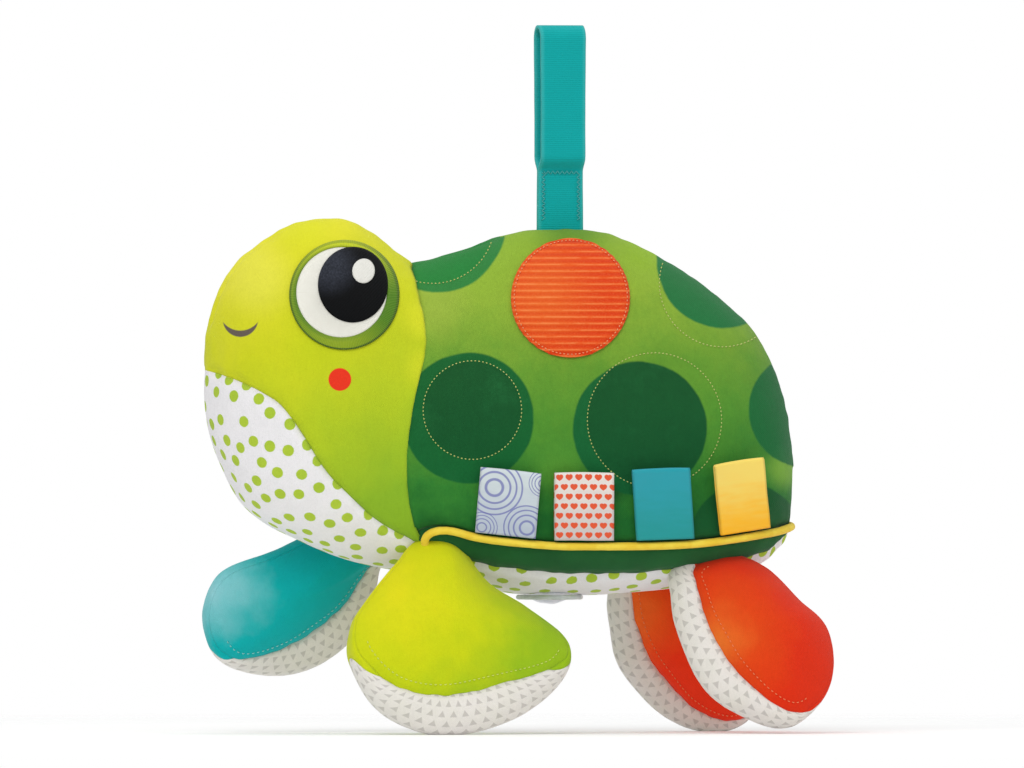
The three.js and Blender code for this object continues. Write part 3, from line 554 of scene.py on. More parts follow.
def velour(name, light, dark):
    cloth = fabric(name)
    along, around = cloth.flat()
    ribs = along.waves(0.8 * MM)
    fine = cloth.grain(0.5 * MM, detail=3, rough=0.7)
    edge = cloth.step((around - STRAP_WIDTH / 2).size(), STRAP_WIDTH * 0.4, STRAP_WIDTH * 0.5)
    base = cloth.mix(ribs * 0.5 + fine * 0.4, ink(*dark), ink(*light))
    base = cloth.mix(edge * 0.55, base, ink(74, 186, 182))
    return cloth.finish(base, fine * 0.15 + 0.7, cloth.bump(ribs * 0.5 + fine, 0.3 * MM, 0.6))


def cord_material(name, light, dark):
    cloth = fabric(name)
    fine = cloth.grain(0.6 * MM, detail=3, rough=0.7)
    base = cloth.mix(cloth.step(cloth.grain(6 * MM, detail=3), 0.35, 0.7), ink(*dark), ink(*light))
    base = cloth.mix(cloth.step(fine, 0.45, 0.75) * 0.3, base, ink(*dark))
    return cloth.finish(base, fine * 0.2 + 0.6, cloth.bump(fine, 0.3 * MM, 0.6))


def mirror_foil():
    cloth = Cloth("mirror_film", Specular_IOR_Level=0.5)
    creases = cloth.grain(2.4 * MM, detail=4, rough=0.65)
    base = cloth.mix(creases, ink(226, 228, 234), ink(196, 200, 210))
    normal = cloth.bump(creases, 0.8 * MM, 0.8)
    return cloth.finish(base, creases * 0.15 + 0.12, normal, creases * 0.1 + 0.88)


# Meshes
SIDES = ((-1, "left"), (1, "right"))
COVER = 0.8 * SKIN


def unit(vectors):
    return vectors / np.linalg.norm(vectors, axis=-1, keepdims=True)


def object_from(mesh, name, material):
    bmesh.ops.remove_doubles(mesh, verts=mesh.verts, dist=1e-6)
    data = bpy.data.meshes.new(name)
    mesh.to_mesh(data)
    mesh.free()
    data.materials.append(material)
    data.polygons.foreach_set("use_smooth", [True] * len(data.polygons))
    made = bpy.data.objects.new(name, data)
    bpy.context.scene.collection.objects.link(made)
    return made


def lattice(points, lengths, inside=None):
    """A bmesh grid laid on the given points, with its flat sizes as the Cut map; inside is behind it."""
    rows, columns = points.shape[:2]
    mesh = bmesh.new()
    bmesh.ops.create_grid(mesh, x_segments=columns - 1, y_segments=rows - 1, size=1)
    cut = mesh.loops.layers.uv.new("Cut")
    where = {}
    for vert in mesh.verts:
        where[vert] = round((vert.co.y + 1) / 2 * (rows - 1)), round((vert.co.x + 1) / 2 * (columns - 1))
        vert.co = points[where[vert]]
    for face in mesh.faces:
        for loop in face.loops:
            loop[cut].uv = lengths[where[loop.vert]]
    mesh.normal_update()
    if inside is not None and sum(face.normal.dot(face.calc_center_median() - Vector(inside))
                                  for face in mesh.faces) < 0:
        bmesh.ops.reverse_faces(mesh, faces=mesh.faces)
    return mesh


def close_mesh(mesh, merge, holes=True):
    """Joins points that meet, fills what is still open and turns the faces outwards."""
    bmesh.ops.remove_doubles(mesh, verts=mesh.verts, dist=merge)
    if holes:
        bmesh.ops.holes_fill(mesh, edges=[edge for edge in mesh.edges if edge.is_boundary], sides=0)
    bmesh.ops.recalc_face_normals(mesh, faces=mesh.faces)
    return mesh


def run_lengths(points):
    """How far each point of a grid lies down its column, and over its row."""
    down, over = [np.linalg.norm(np.diff(points, axis=axis), axis=2) for axis in (0, 1)]
    return (np.cumsum(np.pad(down, ((1, 0), (0, 0))), axis=0),
            np.cumsum(np.pad(over, ((0, 0), (1, 0))), axis=1))


def flat_lengths(points):
    """The Cut map of a grid: its length down the middle, and its width from there."""
    down, over = run_lengths(points)
    middle = points.shape[1] // 2
    return np.dstack([np.repeat(down[:, [middle]], points.shape[1], axis=1), over - over[:, [middle]]])


def thicken(piece, depth, offset=-1):
    wall = piece.modifiers.new("Solidify", "SOLIDIFY")
    wall.thickness, wall.offset = depth, offset
    made = bpy.data.meshes.new_from_object(piece.evaluated_get(bpy.context.evaluated_depsgraph_get()))
    piece.modifiers.clear()
    piece.data = made
    return piece


def cover(name, points, material, inside=None, depth=COVER, lengths=None):
    """A grid as cloth of a given thickness, facing away from a place inside it."""
    if inside is None:
        inside = points.reshape(-1, 3).mean(axis=0) * (1, 0, 1)
    lengths = flat_lengths(points) if lengths is None else lengths
    return thicken(object_from(lattice(points, lengths, inside), name, material), depth)


def seat(piece, slot, node=None, body="stuffed_body"):
    """Puts a piece on its body, in the place of the node that it stands for; the slot is not used."""
    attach(piece, body)
    if node:
        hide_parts(node)
    return piece


# Stuffed surfaces
def hermite(table, share):
    """Smooth values between the rows of a table whose first column rises."""
    knots, values = table[:, 0], table[:, 1:]
    slope = np.diff(values, axis=0) / np.diff(knots)[:, None]
    tangents = np.vstack([slope[0], (slope[1:] + slope[:-1]) / 2, slope[-1]])
    tangents[1:-1][slope[1:] * slope[:-1] <= 0] = 0
    index = np.clip(np.searchsorted(knots, share, side="right") - 1, 0, len(knots) - 2)
    span = (knots[index + 1] - knots[index])[:, None]
    t = (share - knots[index])[:, None] / span
    return ((2 * t ** 3 - 3 * t ** 2 + 1) * values[index] + (t ** 3 - 2 * t ** 2 + t) * tangents[index] * span
            + (-2 * t ** 3 + 3 * t ** 2) * values[index + 1] + (t ** 3 - t ** 2) * tangents[index + 1] * span)


def neck_bend(height):
    """How far the neck's seam bends from a plain sweep at a height, towards the tail."""
    heights = [seen(*pixel)[1] for pixel in NECK_SEAM]
    bends = [(pixel[0] - NECK_PIXEL) * PIXEL / math.cos(VIEW_TURN) for pixel in NECK_SEAM]
    return np.interp(height, heights[::-1], bends[::-1])


class Stuffed:
    """A stuffed form lofted through sections, from the neck to its far end."""

    def __init__(self, shares, half_width, length, direction):
        self.table = np.array(shares, float)
        self.table[:, 0] = 1 - np.sqrt(1 - self.table[:, 0])
        self.half_width, self.length, self.direction = half_width, length, direction

    def values(self, share):
        """Each section's heights, from the ridge down, and its half width."""
        read = hermite(self.table, share)
        return read[:, :-1] * BACK_HEIGHT, read[:, -1] * self.half_width

    def angle_of(self, heights, seam):
        """The angle from the ridge at which a seam runs; the ridge itself is seam 0."""
        if seam == 0:
            return np.zeros(len(heights))
        (top, widest), bottom, height = heights[:, :2].T, heights[:, -1], heights[:, seam]
        above = height > widest
        reach = np.where(above, top - widest, widest - bottom)
        power = np.where(above, UPPER_ROUNDNESS, LOWER_ROUNDNESS) / 2
        cosine = np.clip(np.abs(height - widest) / reach, 0, 1) ** power
        return np.arccos(np.sign(height - widest) * cosine)

    def points(self, share, angle, side):
        """Places on the form; share and angle are arrays of one shape, rows by columns."""
        heights, half = self.values(share[:, 0])
        top, widest, bottom = heights[:, [0]], heights[:, [1]], heights[:, [-1]]
        cosine, sine = np.cos(angle), np.maximum(np.sin(angle), 0)
        power = np.where(cosine > 0, 2 / UPPER_ROUNDNESS, 2 / LOWER_ROUNDNESS)
        reach = np.where(cosine > 0, top - widest, widest - bottom)
        z = SOLE_Z + widest + np.sign(cosine) * np.abs(cosine) ** power * reach
        start = -NECK_SWEEP * np.sin(angle) + neck_bend(z) - self.direction * NECK_LAP
        end = self.direction * self.length - (REAR_TUCK * angle / math.pi if self.direction > 0 else 0)
        x = NECK_X + start + (1 - (1 - share) ** 2) * (end - start)
        return np.dstack([x, side * sine ** power * half[:, None], z])

    def normals(self, share, angle, side):
        eps = 1e-3
        share, angle = np.clip(share, eps, 1 - eps), np.clip(angle, eps, math.pi - eps)
        lengthways = self.points(share + eps, angle, side) - self.points(share - eps, angle, side)
        round_it = self.points(share, angle + eps, side) - self.points(share, angle - eps, side)
        normal = np.cross(lengthways, round_it)
        return normal / (np.linalg.norm(normal, axis=2, keepdims=True) + 1e-12) * side * self.direction

    def patch(self, seams, rows, columns, side, last=1):
        """Points and outward normals of the cloth between two seams."""
        share = np.repeat(np.linspace(0, last, rows)[:, None], columns, axis=1)
        heights, _ = self.values(share[:, 0])
        low, high = [self.angle_of(heights, seam)[:, None] for seam in seams]
        angle = low + (high - low) * np.linspace(0, 1, columns)[None, :]
        return self.points(share, angle, side), self.normals(share, angle, side)


# Seams are counted from the ridge: the widest line is 1, the bottom is the last
SHELL = Stuffed(SHELL_SHARES, SHELL_HALF_WIDTH, SHELL_LENGTH, 1)
HEAD = Stuffed(HEAD_SHARES, HEAD_HALF_WIDTH, HEAD_LENGTH, -1)
BOTTOM = -1


def edge_distances(points, edges):
    """For each point, the distance over the cloth to the nearest of the named edges."""
    down, over = run_lengths(points)
    away = {"first row": down, "neck": down + 2.2 * MM, "end": down[-1] - down,
            "first column": over, "last column": over[:, [-1]] - over}
    return np.minimum.reduce([away[edge] for edge in edges])


# How seams shape cloth: their furrow's depth and width, and the size, height, reach and seed of the
# puckers beside them and of the swells beyond
SEAM_TUCK = 1.1 * MM
BODY_SEAMS = (1.5 * MM, 2.6 * MM), (5.5 * MM, 0.75 * MM, 9 * MM, 3.7), (30 * MM, 0.9 * MM, 14 * MM, 9.1)
FLIPPER_SEAMS = (SEAM_TUCK, 2.2 * MM), (5 * MM, 0.7 * MM, 8 * MM, 1.3), (20 * MM, 0.7 * MM, 10 * MM, 6.4)


def sewn_height(points, away, pull, furrow, puckers, swells):
    """How far cloth lies off its plain form at a distance from its seams, which draw it in by pull."""
    near, far = [
        height * np.array([noise.noise(Vector(point) / size + Vector((seed, 0, 0)))
                           for point in points.reshape(-1, 3)]).reshape(points.shape[:2])
        for size, height, _, seed in (puckers, swells)]
    drawn = near * np.exp(-away / puckers[2]) - furrow[0] * np.exp(-(away / furrow[1]) ** 2)
    return drawn * pull + far * (1 - np.exp(-away / swells[2]))


def upholster(points, normals, edges):
    """Cloth of the body or the head on its form; its seams draw it in less at the far end."""
    away = edge_distances(points, ("neck", "first column", "last column", *edges))
    rows = np.linspace(0, 1, len(points))[:, None]
    pull = 1 - 0.8 * np.clip((rows - 0.86) / 0.1, 0, 1)
    height = sewn_height(points, away, pull, *BODY_SEAMS)
    height *= 1 - 0.9 * np.clip((rows - 0.93) / 0.07, 0, 1)
    return points + normals * height[:, :, None]


def whole_panel(form, seam, rows, columns):
    """The belly or the chest: cloth from one side's seam under the form to the other side's."""
    halves = [form.patch((seam, BOTTOM), rows, columns, side) for side, _ in SIDES]
    points, normals = [np.concatenate([left, right[:, ::-1][:, 1:]], axis=1) for left, right in zip(*halves)]
    shaped = upholster(points, normals, ())
    shaped[-1] = (shaped[-1] + shaped[-1][::-1]) / 2
    shaped[-1, :, 1] = 0
    return shaped


def filling(name, form, material):
    """The fibre inside a form, a little smaller than its cover."""
    halves = []
    for side, _ in SIDES:
        points, normals = form.patch((0, BOTTOM), 60, 40, side, last=0.985)
        points = points - normals * 3.2 * MM
        points[:, 0, 1] = points[:, -1, 1] = 0
        halves.append(points)
    points = np.concatenate([halves[0], halves[1][:, ::-1]], axis=1)
    return object_from(close_mesh(lattice(points, flat_lengths(points)), 1e-5), name, material)


# Each cover's name, its node, its form, the seams it reaches, and its rows and columns
SIDE_COVERS = [("shell", "panel", SHELL, (0, 2), 170, 80), ("rim", "band", SHELL, (2, 3), 170, 16),
               ("head", "panel", HEAD, (0, 2), 120, 80)]
UNDER_COVERS = [("belly", "belly_panel", SHELL, 3, 150, 36), ("chest", "chest_gusset", HEAD, 2, 120, 60)]


def make_body(cloths):
    for side, word in SIDES:
        for part, node, form, seams, rows, columns in SIDE_COVERS:
            shaped = upholster(*form.patch(seams, rows, columns, side), ("end",))
            piece = cover(f"{part}_cover_{word}", shaped, cloths[part])
            seat(piece, f"{part}_print", f"{part}_{node}_{word}")
    for name, node, form, seam, rows, columns in UNDER_COVERS:
        shaped = whole_panel(form, seam, rows, columns)
        inside = shaped.reshape(-1, 3).mean(axis=0) + (0, 0, 40 * MM)
        piece = seat(cover(f"{name}_cover", shaped, cloths["dotted"], inside), "dotted_cotton", node)
        scatter_dots(piece)
    for name, form in (("body", SHELL), ("head", HEAD)):
        fibre = seat(filling(f"{name}_fibre", form, cloths["fibre"]), "fibre_filling", f"{name}_filling")


# Cords and threads
def tube(name, route, radius, material, sides=12, closed=False, uneven=0.0):
    """A round cord along a route, with its flat map running along it."""
    route = np.array(route, float)
    if closed:
        tangents = unit(np.roll(route, -1, axis=0) - np.roll(route, 1, axis=0))
    else:
        tangents = unit(np.gradient(route, axis=0))
    up = Vector((0, 0, 1)) if abs(tangents[0][2]) < 0.9 else Vector((1, 0, 0))
    turns = np.linspace(0, 2 * math.pi, sides + 1)[:, None]
    rings = []
    for spot, tangent in zip(route, tangents):
        tangent = Vector(tangent)
        aside = tangent.cross(up).normalized()
        up = aside.cross(tangent).normalized()
        thick = radius * (1 + uneven * noise.noise(Vector(spot) * 300))
        rings.append(spot + (np.cos(turns) * np.array(aside) + np.sin(turns) * np.array(up)) * thick)
    points = np.array(rings + rings[:1] if closed else rings)
    mesh = close_mesh(lattice(points, flat_lengths(points)), radius * 0.02, holes=not closed)
    return object_from(mesh, name, material)


def line_reader(line):
    """A line's length, and a function that reads its points at distances from its start."""
    steps = np.concatenate([[0], np.cumsum(np.linalg.norm(np.diff(line, axis=0), axis=1))])
    return steps[-1], lambda at: np.column_stack([np.interp(at, steps, line[:, axis]) for axis in range(3)])


def evened(line, count):
    """The same line, smoothed, as points at equal distances."""
    for _ in range(3):
        line[1:-1] = (line[:-2] + line[1:-1] * 2 + line[2:]) / 4
    length, read = line_reader(line)
    return read(np.linspace(0, length, count))


# The piping's start at the neck: how far along the shell, and how far down its rim
CURL = [(0.012, 1.0), (0.006, 0.75), (0.005, 0.45), (0.009, 0.16), (0.018, 0.02), (0.03, -0.02)]


def make_piping(cloths):
    curl = np.array(CURL + [(share, 0) for share in np.linspace(0.045, 1, 200)])
    share, down = curl[:, [0]], curl[:, [1]]
    heights, _ = SHELL.values(share[:, 0])
    upper, lower = [SHELL.angle_of(heights, seam)[:, None] for seam in (2, 3)]
    angle = upper + (lower - upper) * down
    lift = PIPING_RADIUS * (0.6 - 1.3 * np.clip((share - 0.9) / 0.1, 0, 1) ** 2)
    halves = []
    for side, _ in SIDES:
        line = SHELL.points(share, angle, side)[:, 0] + SHELL.normals(share, angle, side)[:, 0] * lift
        halves.append(evened(line, 260))
    line = np.concatenate([halves[0], halves[1][::-1][1:]])
    piping = tube("piping_cord", line, PIPING_RADIUS, cloths["piping"], sides=14, uneven=0.05)
    seat(piping, "piping_cord", "shell_piping")


def stitches(name, runs, material, radius):
    """Short threads as one piece: a six-sided tube with drawn-in ends for each run."""
    mesh = bmesh.new()
    cut = mesh.loops.layers.uv.new("Cut")
    for run in runs:
        edges = set()
        for number, spot in enumerate(run):
            tangent = (run[min(number + 1, len(run) - 1)] - run[max(number - 1, 0)]).normalized()
            aside = tangent.orthogonal().normalized()
            turn = Matrix((aside, tangent.cross(aside), tangent)).transposed().to_4x4()
            turn.translation = spot
            size = radius * (0.35 if number in (0, len(run) - 1) else 1)
            ring = bmesh.ops.create_circle(mesh, segments=6, radius=size, matrix=turn)
            edges.update(edge for vert in ring["verts"] for edge in vert.link_edges)
        bmesh.ops.bridge_loops(mesh, edges=list(edges))
    close_mesh(mesh, 0)
    for face in mesh.faces:
        for loop in face.loops:
            loop[cut].uv = loop.vert.co.xz
    return object_from(mesh, name, material)


def dashes(count, place):
    """Arched stitches, half thread and half gap; place gives a point for a share of the row and a rise."""
    runs = [[place(number + t, math.sin(t / 0.5 * math.pi)) for t in np.linspace(0, 0.5, 4)]
            for number in range(count)]
    return [run for run in runs if all(run)]


# What is sewn flat on the body
LOOK = Vector((math.sin(VIEW_TURN), math.cos(VIEW_TURN), 0))
ACROSS = Vector((math.cos(VIEW_TURN), -math.sin(VIEW_TURN), 0))


def surface_tree(name):
    data = bpy.data.objects[name].data
    faces = [list(face.vertices) for face in data.polygons]
    return BVHTree.FromPolygons([vert.co.copy() for vert in data.vertices], faces)


def laid(tree, u, z, side, needed=True):
    """Where a line of sight through a place of the view meets the left cloth, and its normal there."""
    start = ACROSS * u + Vector((0, 0, z))
    spot, normal, _, _ = tree.ray_cast(start - LOOK, LOOK)
    if spot is None:
        if not needed:
            return None, None
        spot, normal, _, _ = tree.find_nearest(start - LOOK * SHELL_HALF_WIDTH)
    if normal.dot(LOOK) > 0:
        normal = -normal
    flip = Vector((1, -side, 1))
    return spot * flip, normal * flip


def smooth_normals(normals, closed):
    """Evened normals; a closed grid's last column is its first."""
    for _ in range(12):
        padded = np.pad(normals, ((1, 1), (1, 1), (0, 0)), mode="edge")
        if closed:
            padded[1:-1, 0], padded[1:-1, -1] = normals[:, -2], normals[:, 1]
        normals = (padded[:-2, 1:-1] + padded[2:, 1:-1] + padded[1:-1, :-2] + padded[1:-1, 2:] + normals) / 5
    return unit(normals)


def patch_on(name, tree, places, lift, material, side, depth):
    """A piece laid on the cloth: places are rows and columns of view places, lift is its height."""
    found = np.array([[laid(tree, *place, side) for place in row] for row in places])
    spots, normals = found[:, :, 0], found[:, :, 1]
    pointed = np.ptp(places[0], axis=0).max() < 1e-9
    if pointed:
        normals[0] = normals[0].mean(axis=0)
    normals = smooth_normals(normals, np.allclose(places[:, 0], places[:, -1]))
    if pointed:
        normals[0] = normals[0].mean(axis=0)
    return cover(name, spots + normals * lift[:, :, None], material, depth=depth)


def ring_places(place, columns, tall=1.0):
    """View places round a circle, which is given by its pixel and its radius in pixels."""
    turns = np.linspace(0, 2 * math.pi, columns)
    u, z = seen(*place[:2])
    radius = place[2] * PIXEL
    return np.column_stack([u + radius * np.cos(turns), z + radius * np.sin(turns) * tall])


# The eye in pixels; the ring's hole is set off its middle, under the white's edge
EYE = (344.8, 295.8, 54.4)
EYE_WHITE = (342, 293.3, 45.3)
EYE_HOLE = (342, 293.3, 44.6)
PUPIL = (352.8, 286.2, 34.3)
HIGHLIGHT = (362.4, 273.3, 10.9)
# Piece, node, slot, material, place, hole, height over width, foot and crown in mm, rows and columns
EYE_PIECES = [
    ("rim", "eye_ring", "eye_ring_thread", "eye_ring", EYE, EYE_HOLE, 1, 0.7, 0.5, 9, 97),
    ("ground", "eye_white", "white_thread", "white", EYE_WHITE, None, 1, 0.6, 0.35, 22, 97),
    ("dark", "eye_pupil", "black_thread", "black", PUPIL, None, 37.3 / 34.3, 1.2, 0.5, 22, 97),
    ("glint", "eye_highlight", "white_thread", "glint", HIGHLIGHT, None, 12.1 / 10.9, 1.8, 0.4, 10, 49),
]


def make_eyes(cloths):
    """Padded discs of thread over each other, the lowest with a hole."""
    tree = surface_tree("head_cover_left")
    for side, word in SIDES:
        for part, node, slot, cloth, place, hole, tall, foot, crown, rows, columns in EYE_PIECES:
            share = np.linspace(0, 1, rows)[:, None, None]
            inner = ring_places(hole or (*place[:2], 0), columns)
            places = inner * (1 - share) + ring_places(place, columns, tall) * share
            across = np.linspace(-1 if hole else 0, 1, rows)[:, None]
            lift = (foot + crown * np.sqrt(1 - across ** 2)) * MM * np.ones((1, columns))
            piece = patch_on(f"eye_{part}_{word}", tree, places, lift, cloths[cloth], side, 0.55 * MM)
            seat(piece, slot, f"{node}_{word}")


def stitch_ring(name, tree, centre, radius, side, material, lift=0.0):
    """A ring of running stitches about a place of the view, where it lies on the cloth."""
    u, z = seen(*centre)
    count = int(2 * math.pi * radius / (1.6 * MM))

    def place(at, rise):
        turn = at / count * 2 * math.pi
        spot, normal = laid(tree, u + radius * math.cos(turn), z + radius * math.sin(turn), side, False)
        if spot and abs(normal.dot(LOOK)) > 0.2:
            return spot + normal * (lift + 0.22 * MM * rise)

    return stitches(name, dashes(count, place), material, 0.25 * MM)


# The corduroy disc in pixels, the share of its radius at which it is sewn on, and its wales
PATCH = (570, 299, 59)
PATCH_SEWN = 0.95
CORDUROY_PITCH = 2.75 * MM


def make_patches(tree, cloths):
    """Corduroy discs, whose rows follow the wales, with a ring of stitches."""
    rows, columns = 141, 41
    radius = PATCH[2] * PIXEL
    u, z = seen(*PATCH[:2])
    up = np.sin(np.linspace(-math.pi / 2, math.pi / 2, rows))[:, None] * radius
    across = np.sqrt(np.maximum(radius ** 2 - up ** 2, (0.02 * radius) ** 2)) * np.linspace(-1, 1, columns)
    places = np.dstack([u + across, np.repeat(z + up, columns, axis=1)])
    away = np.hypot(across, up) / radius
    stitched = np.exp(-((away - PATCH_SEWN) * radius / (0.8 * MM)) ** 2) * 0.45 * MM
    wale = np.abs(np.cos((z + up) * math.pi / CORDUROY_PITCH))
    lift = 1.0 * MM + wale * 0.4 * MM - stitched - np.clip((away - 0.97) / 0.03, 0, 1) * 0.3 * MM
    for side, word in SIDES:
        patch = patch_on(f"corduroy_disc_{word}", tree, places, lift, cloths["corduroy"], side, 0.8 * MM)
        seat(patch, "orange_corduroy", f"corduroy_patch_{word}")
        ring = stitch_ring(f"patch_stitches_{word}", tree, PATCH[:2], PATCH_SEWN * radius, side,
                           cloths["patch_thread"], lift=1.2 * MM)
        seat(ring, "orange_corduroy")


def make_quilting(tree, cloths):
    for side, word in SIDES:
        for number, (x, y, radius) in enumerate(STITCHED_RINGS, 1):
            seat(stitch_ring(f"quilting_{number}_{word}", tree, (x, y), radius * PIXEL, side,
                             cloths["quilting_thread"]), "shell_print")


# The ribbon tags, and how far each one's top leans along the seam, towards the tail, in mm
TAGS = [("ring_print", "ring_ribbon", -1.6), ("dotted", "orange_ribbon", -2.6),
        ("teal_satin", "teal_ribbon", -5.0), ("yellow_satin", "yellow_ribbon", -7.0)]
FOLD_RADIUS = 0.55 * MM


def joint_of(body):
    return next(joint for joint in frame["record"]["behaviour"]["joints"] if joint["child"] == body)


def make_tags(cloths):
    for side, word in SIDES:
        for kind, slot, lean in TAGS:
            node = f"tag_{kind}_{word}"
            joint = joint_of(node)
            pivot, along = Vector(joint["pos_m"]), Vector(joint["axis"]).normalized()
            middle = sum((Vector(corner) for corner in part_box(node)), Vector()) / 2 - pivot
            up = (middle - along * middle.dot(along)).normalized()
            out = along.cross(up).normalized()
            out *= 1 if out.y * side > 0 else -1
            height = 2 * middle.length + 0.9 * MM
            slant = along * (lean * MM / height * (1 if along.x > 0 else -1))
            piece = ribbon(node + "_loop", pivot, along, up + slant, out, height, cloths[slot])
            seat(piece, slot, node, node)


def ribbon(name, pivot, along, up, out, height, material):
    """A folded ribbon: front ply up, a soft fold, back ply down, with a slight curl."""
    rows, columns = 61, 25
    straight, bend = height - FOLD_RADIUS, math.pi * FOLD_RADIUS
    runs = np.linspace(0, 2 * straight + bend, rows)
    points = np.zeros((rows, columns, 3))
    for r, run in enumerate(runs):
        turn = min(max((run - straight) / FOLD_RADIUS, 0), math.pi)
        rise = min(run, straight, runs[-1] - run) + FOLD_RADIUS * math.sin(turn)
        depth = FOLD_RADIUS * math.cos(turn) * (0.5 + 0.5 * min(1, rise / (6 * MM)))
        for c, share in enumerate(np.linspace(-0.5, 0.5, columns)):
            curl = 0.9 * MM * (share * 2) ** 2 * (rise / height) ** 2
            wave = 0.25 * MM * noise.noise(Vector((share * 3, rise / (9 * MM), pivot.x * 40)))
            points[r, c] = pivot + along * (share * TAG_WIDTH) + up * rise + out * (depth + curl + wave)
    lengths = np.dstack(np.meshgrid(runs, np.linspace(0, TAG_WIDTH, columns), indexing="ij"))
    return thicken(object_from(lattice(points, lengths), name, material), 0.4 * MM, 0)


# Hanging strap
def make_strap(cloths):
    pivot = Vector(joint_of("strap")["pos_m"])
    round_radius = (STRAP_OPENING + STRAP_PLY) / 2
    top = STRAP_LENGTH - 1.6 * MM - round_radius - STRAP_PLY / 2
    flare = 6 * MM
    closed = STRAP_PLY * 0.52

    def depth(rise):
        share = np.clip((rise - STRAP_SEWN) / flare, 0, 1)
        return closed + (round_radius - closed) * share * share * (3 - 2 * share)

    rises = np.linspace(-3.6 * MM, top, 72)
    turn = np.linspace(0, math.pi, 17)[1:-1]
    profile = [(-depth(rise), rise) for rise in rises]
    profile += [(-round_radius * math.cos(a), top + round_radius * math.sin(a)) for a in turn]
    profile += [(depth(rise), rise) for rise in rises[::-1]]
    rows, columns = len(profile), 23
    points = np.zeros((rows, columns, 3))
    for r, (y, rise) in enumerate(profile):
        width = STRAP_WIDTH * (1 - 0.025 * math.sin(rise / top * math.pi))
        for c, share in enumerate(np.linspace(-0.5, 0.5, columns)):
            wave = 0.35 * MM * noise.noise(Vector((share * 2, rise / (14 * MM), y * 200)))
            points[r, c] = pivot + Vector((share * width, y + wave, rise))
    lengths = flat_lengths(points)
    lengths[:, :, 1] = np.linspace(0, STRAP_WIDTH, columns)
    strap = thicken(object_from(lattice(points, lengths), "strap_loop", cloths["velour"]), STRAP_PLY, 0)
    seat(strap, "teal_velour", "hanging_strap", "strap")
    make_box_stitch(pivot, cloths)


def make_box_stitch(pivot, cloths):
    """Zigzag rows that sew the strap's two plies together at its foot."""
    runs = []
    half, low, high = 7.6 * MM, 1.5 * MM, 21.5 * MM
    swing, pitch = 0.75 * MM, 1.0 * MM
    for front in (-1, 1):
        face = pivot + Vector((0, front * (STRAP_PLY * 1.02 + 0.28 * MM), 0))
        for start, end in (((-half, 0, high), (half, 0, high)), ((-half, 0, low), (-half, 0, high)),
                           ((half, 0, low), (half, 0, high))):
            start, end = Vector(start), Vector(end)
            count = int((end - start).length / pitch)
            aside = Vector((0, 1, 0)).cross((end - start).normalized()) * swing
            for k in range(count):
                sway = aside * (1 if k % 2 else -1)
                first, second = start.lerp(end, k / count) + sway, start.lerp(end, (k + 1) / count) - sway
                runs.append([face + first.lerp(second, t) for t in (0, 0.33, 0.67, 1)])
    seat(stitches("strap_box_stitch", runs, cloths["strap_thread"], 0.22 * MM), "teal_velour", body="strap")


# Mirror film under the belly
def make_film(cloths):
    low, high = [Vector(corner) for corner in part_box("mirror_film")]
    centre, radius = (low + high) / 2, (high.x - low.x) / 2
    rows, columns = 26, 65
    points = np.zeros((rows, columns, 3))
    for r, share in enumerate(np.linspace(0, 1, rows)):
        for c, turn in enumerate(np.linspace(0, 2 * math.pi, columns)):
            x, y = radius * share * math.cos(turn), radius * share * math.sin(turn)
            fold = 0.35 * MM * noise.noise(Vector((x, y, 0)) / (3.5 * MM)) * (1 - share)
            drop = (high.z - low.z) * (1 - share ** 2) + fold
            points[r, c] = (centre.x + x, centre.y + y, high.z - drop)
    film = seat(cover("film_disc", points, cloths["foil"], centre + Vector((0, 0, 20 * MM)), 0.4 * MM),
                "mirror_film", "mirror_film")
    reach = radius + 1.2 * MM
    height = sum(corner[2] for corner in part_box("mirror_binding")) / 2
    route = [(centre.x + reach * math.cos(a), centre.y + reach * math.sin(a), height)
             for a in np.linspace(0, 2 * math.pi, 73)[:-1]]
    binding = tube("film_binding", route, 1.0 * MM, cloths["binding"], closed=True, uneven=0.1)
    seat(binding, "binding_cord", "mirror_binding")


# Flippers: the sole is the part of the outline between two shares of it, and the topstitching runs past
# the sole by some columns at each end
FLIPPERS = {
    "front_left": dict(side=-1, shares=FRONT_LEFT_SHARES, splay=20, stands=True, slot="lime_plush",
                       sole=(0.4, 0.7), stitched=(5, 5)),
    "front_right": dict(side=1, shares=FRONT_RIGHT_SHARES, splay=18, stands=False, slot="teal_plush",
                        sole=(0.45, 0.9), stitched=(5, 2)),
    "rear_left": dict(side=-1, shares=REAR_LEFT_SHARES, splay=22, stands=False, slot="orange_plush",
                      sole=(0.05, 0.55), stitched=(-2, -1)),
    "rear_right": dict(side=1, shares=REAR_RIGHT_SHARES, splay=22, stands=True, slot="orange_plush",
                       sole=(0.05, 0.6), stitched=(-2, -1)),
}
COLUMNS = 144
SOLE_POINT, SOLE_SQUARE = 3, 5
STITCH_INSET = 5.2 * MM
STITCH_PITCH = 2.1 * MM
FOLD_TUCK = 0.3 * MM


def catmull(control, places):
    """A closed smooth curve through control points, read at places counted in points."""
    index = np.floor(places).astype(int)
    t = (places - index)[:, None]
    p0, p1, p2, p3 = [control[(index + k) % len(control)] for k in (-1, 0, 1, 2)]
    return 0.5 * (2 * p1 + (p2 - p0) * t + (2 * p0 - 5 * p1 + 4 * p2 - p3) * t ** 2
                  + (3 * p1 - p0 - 3 * p2 + p3) * t ** 3)


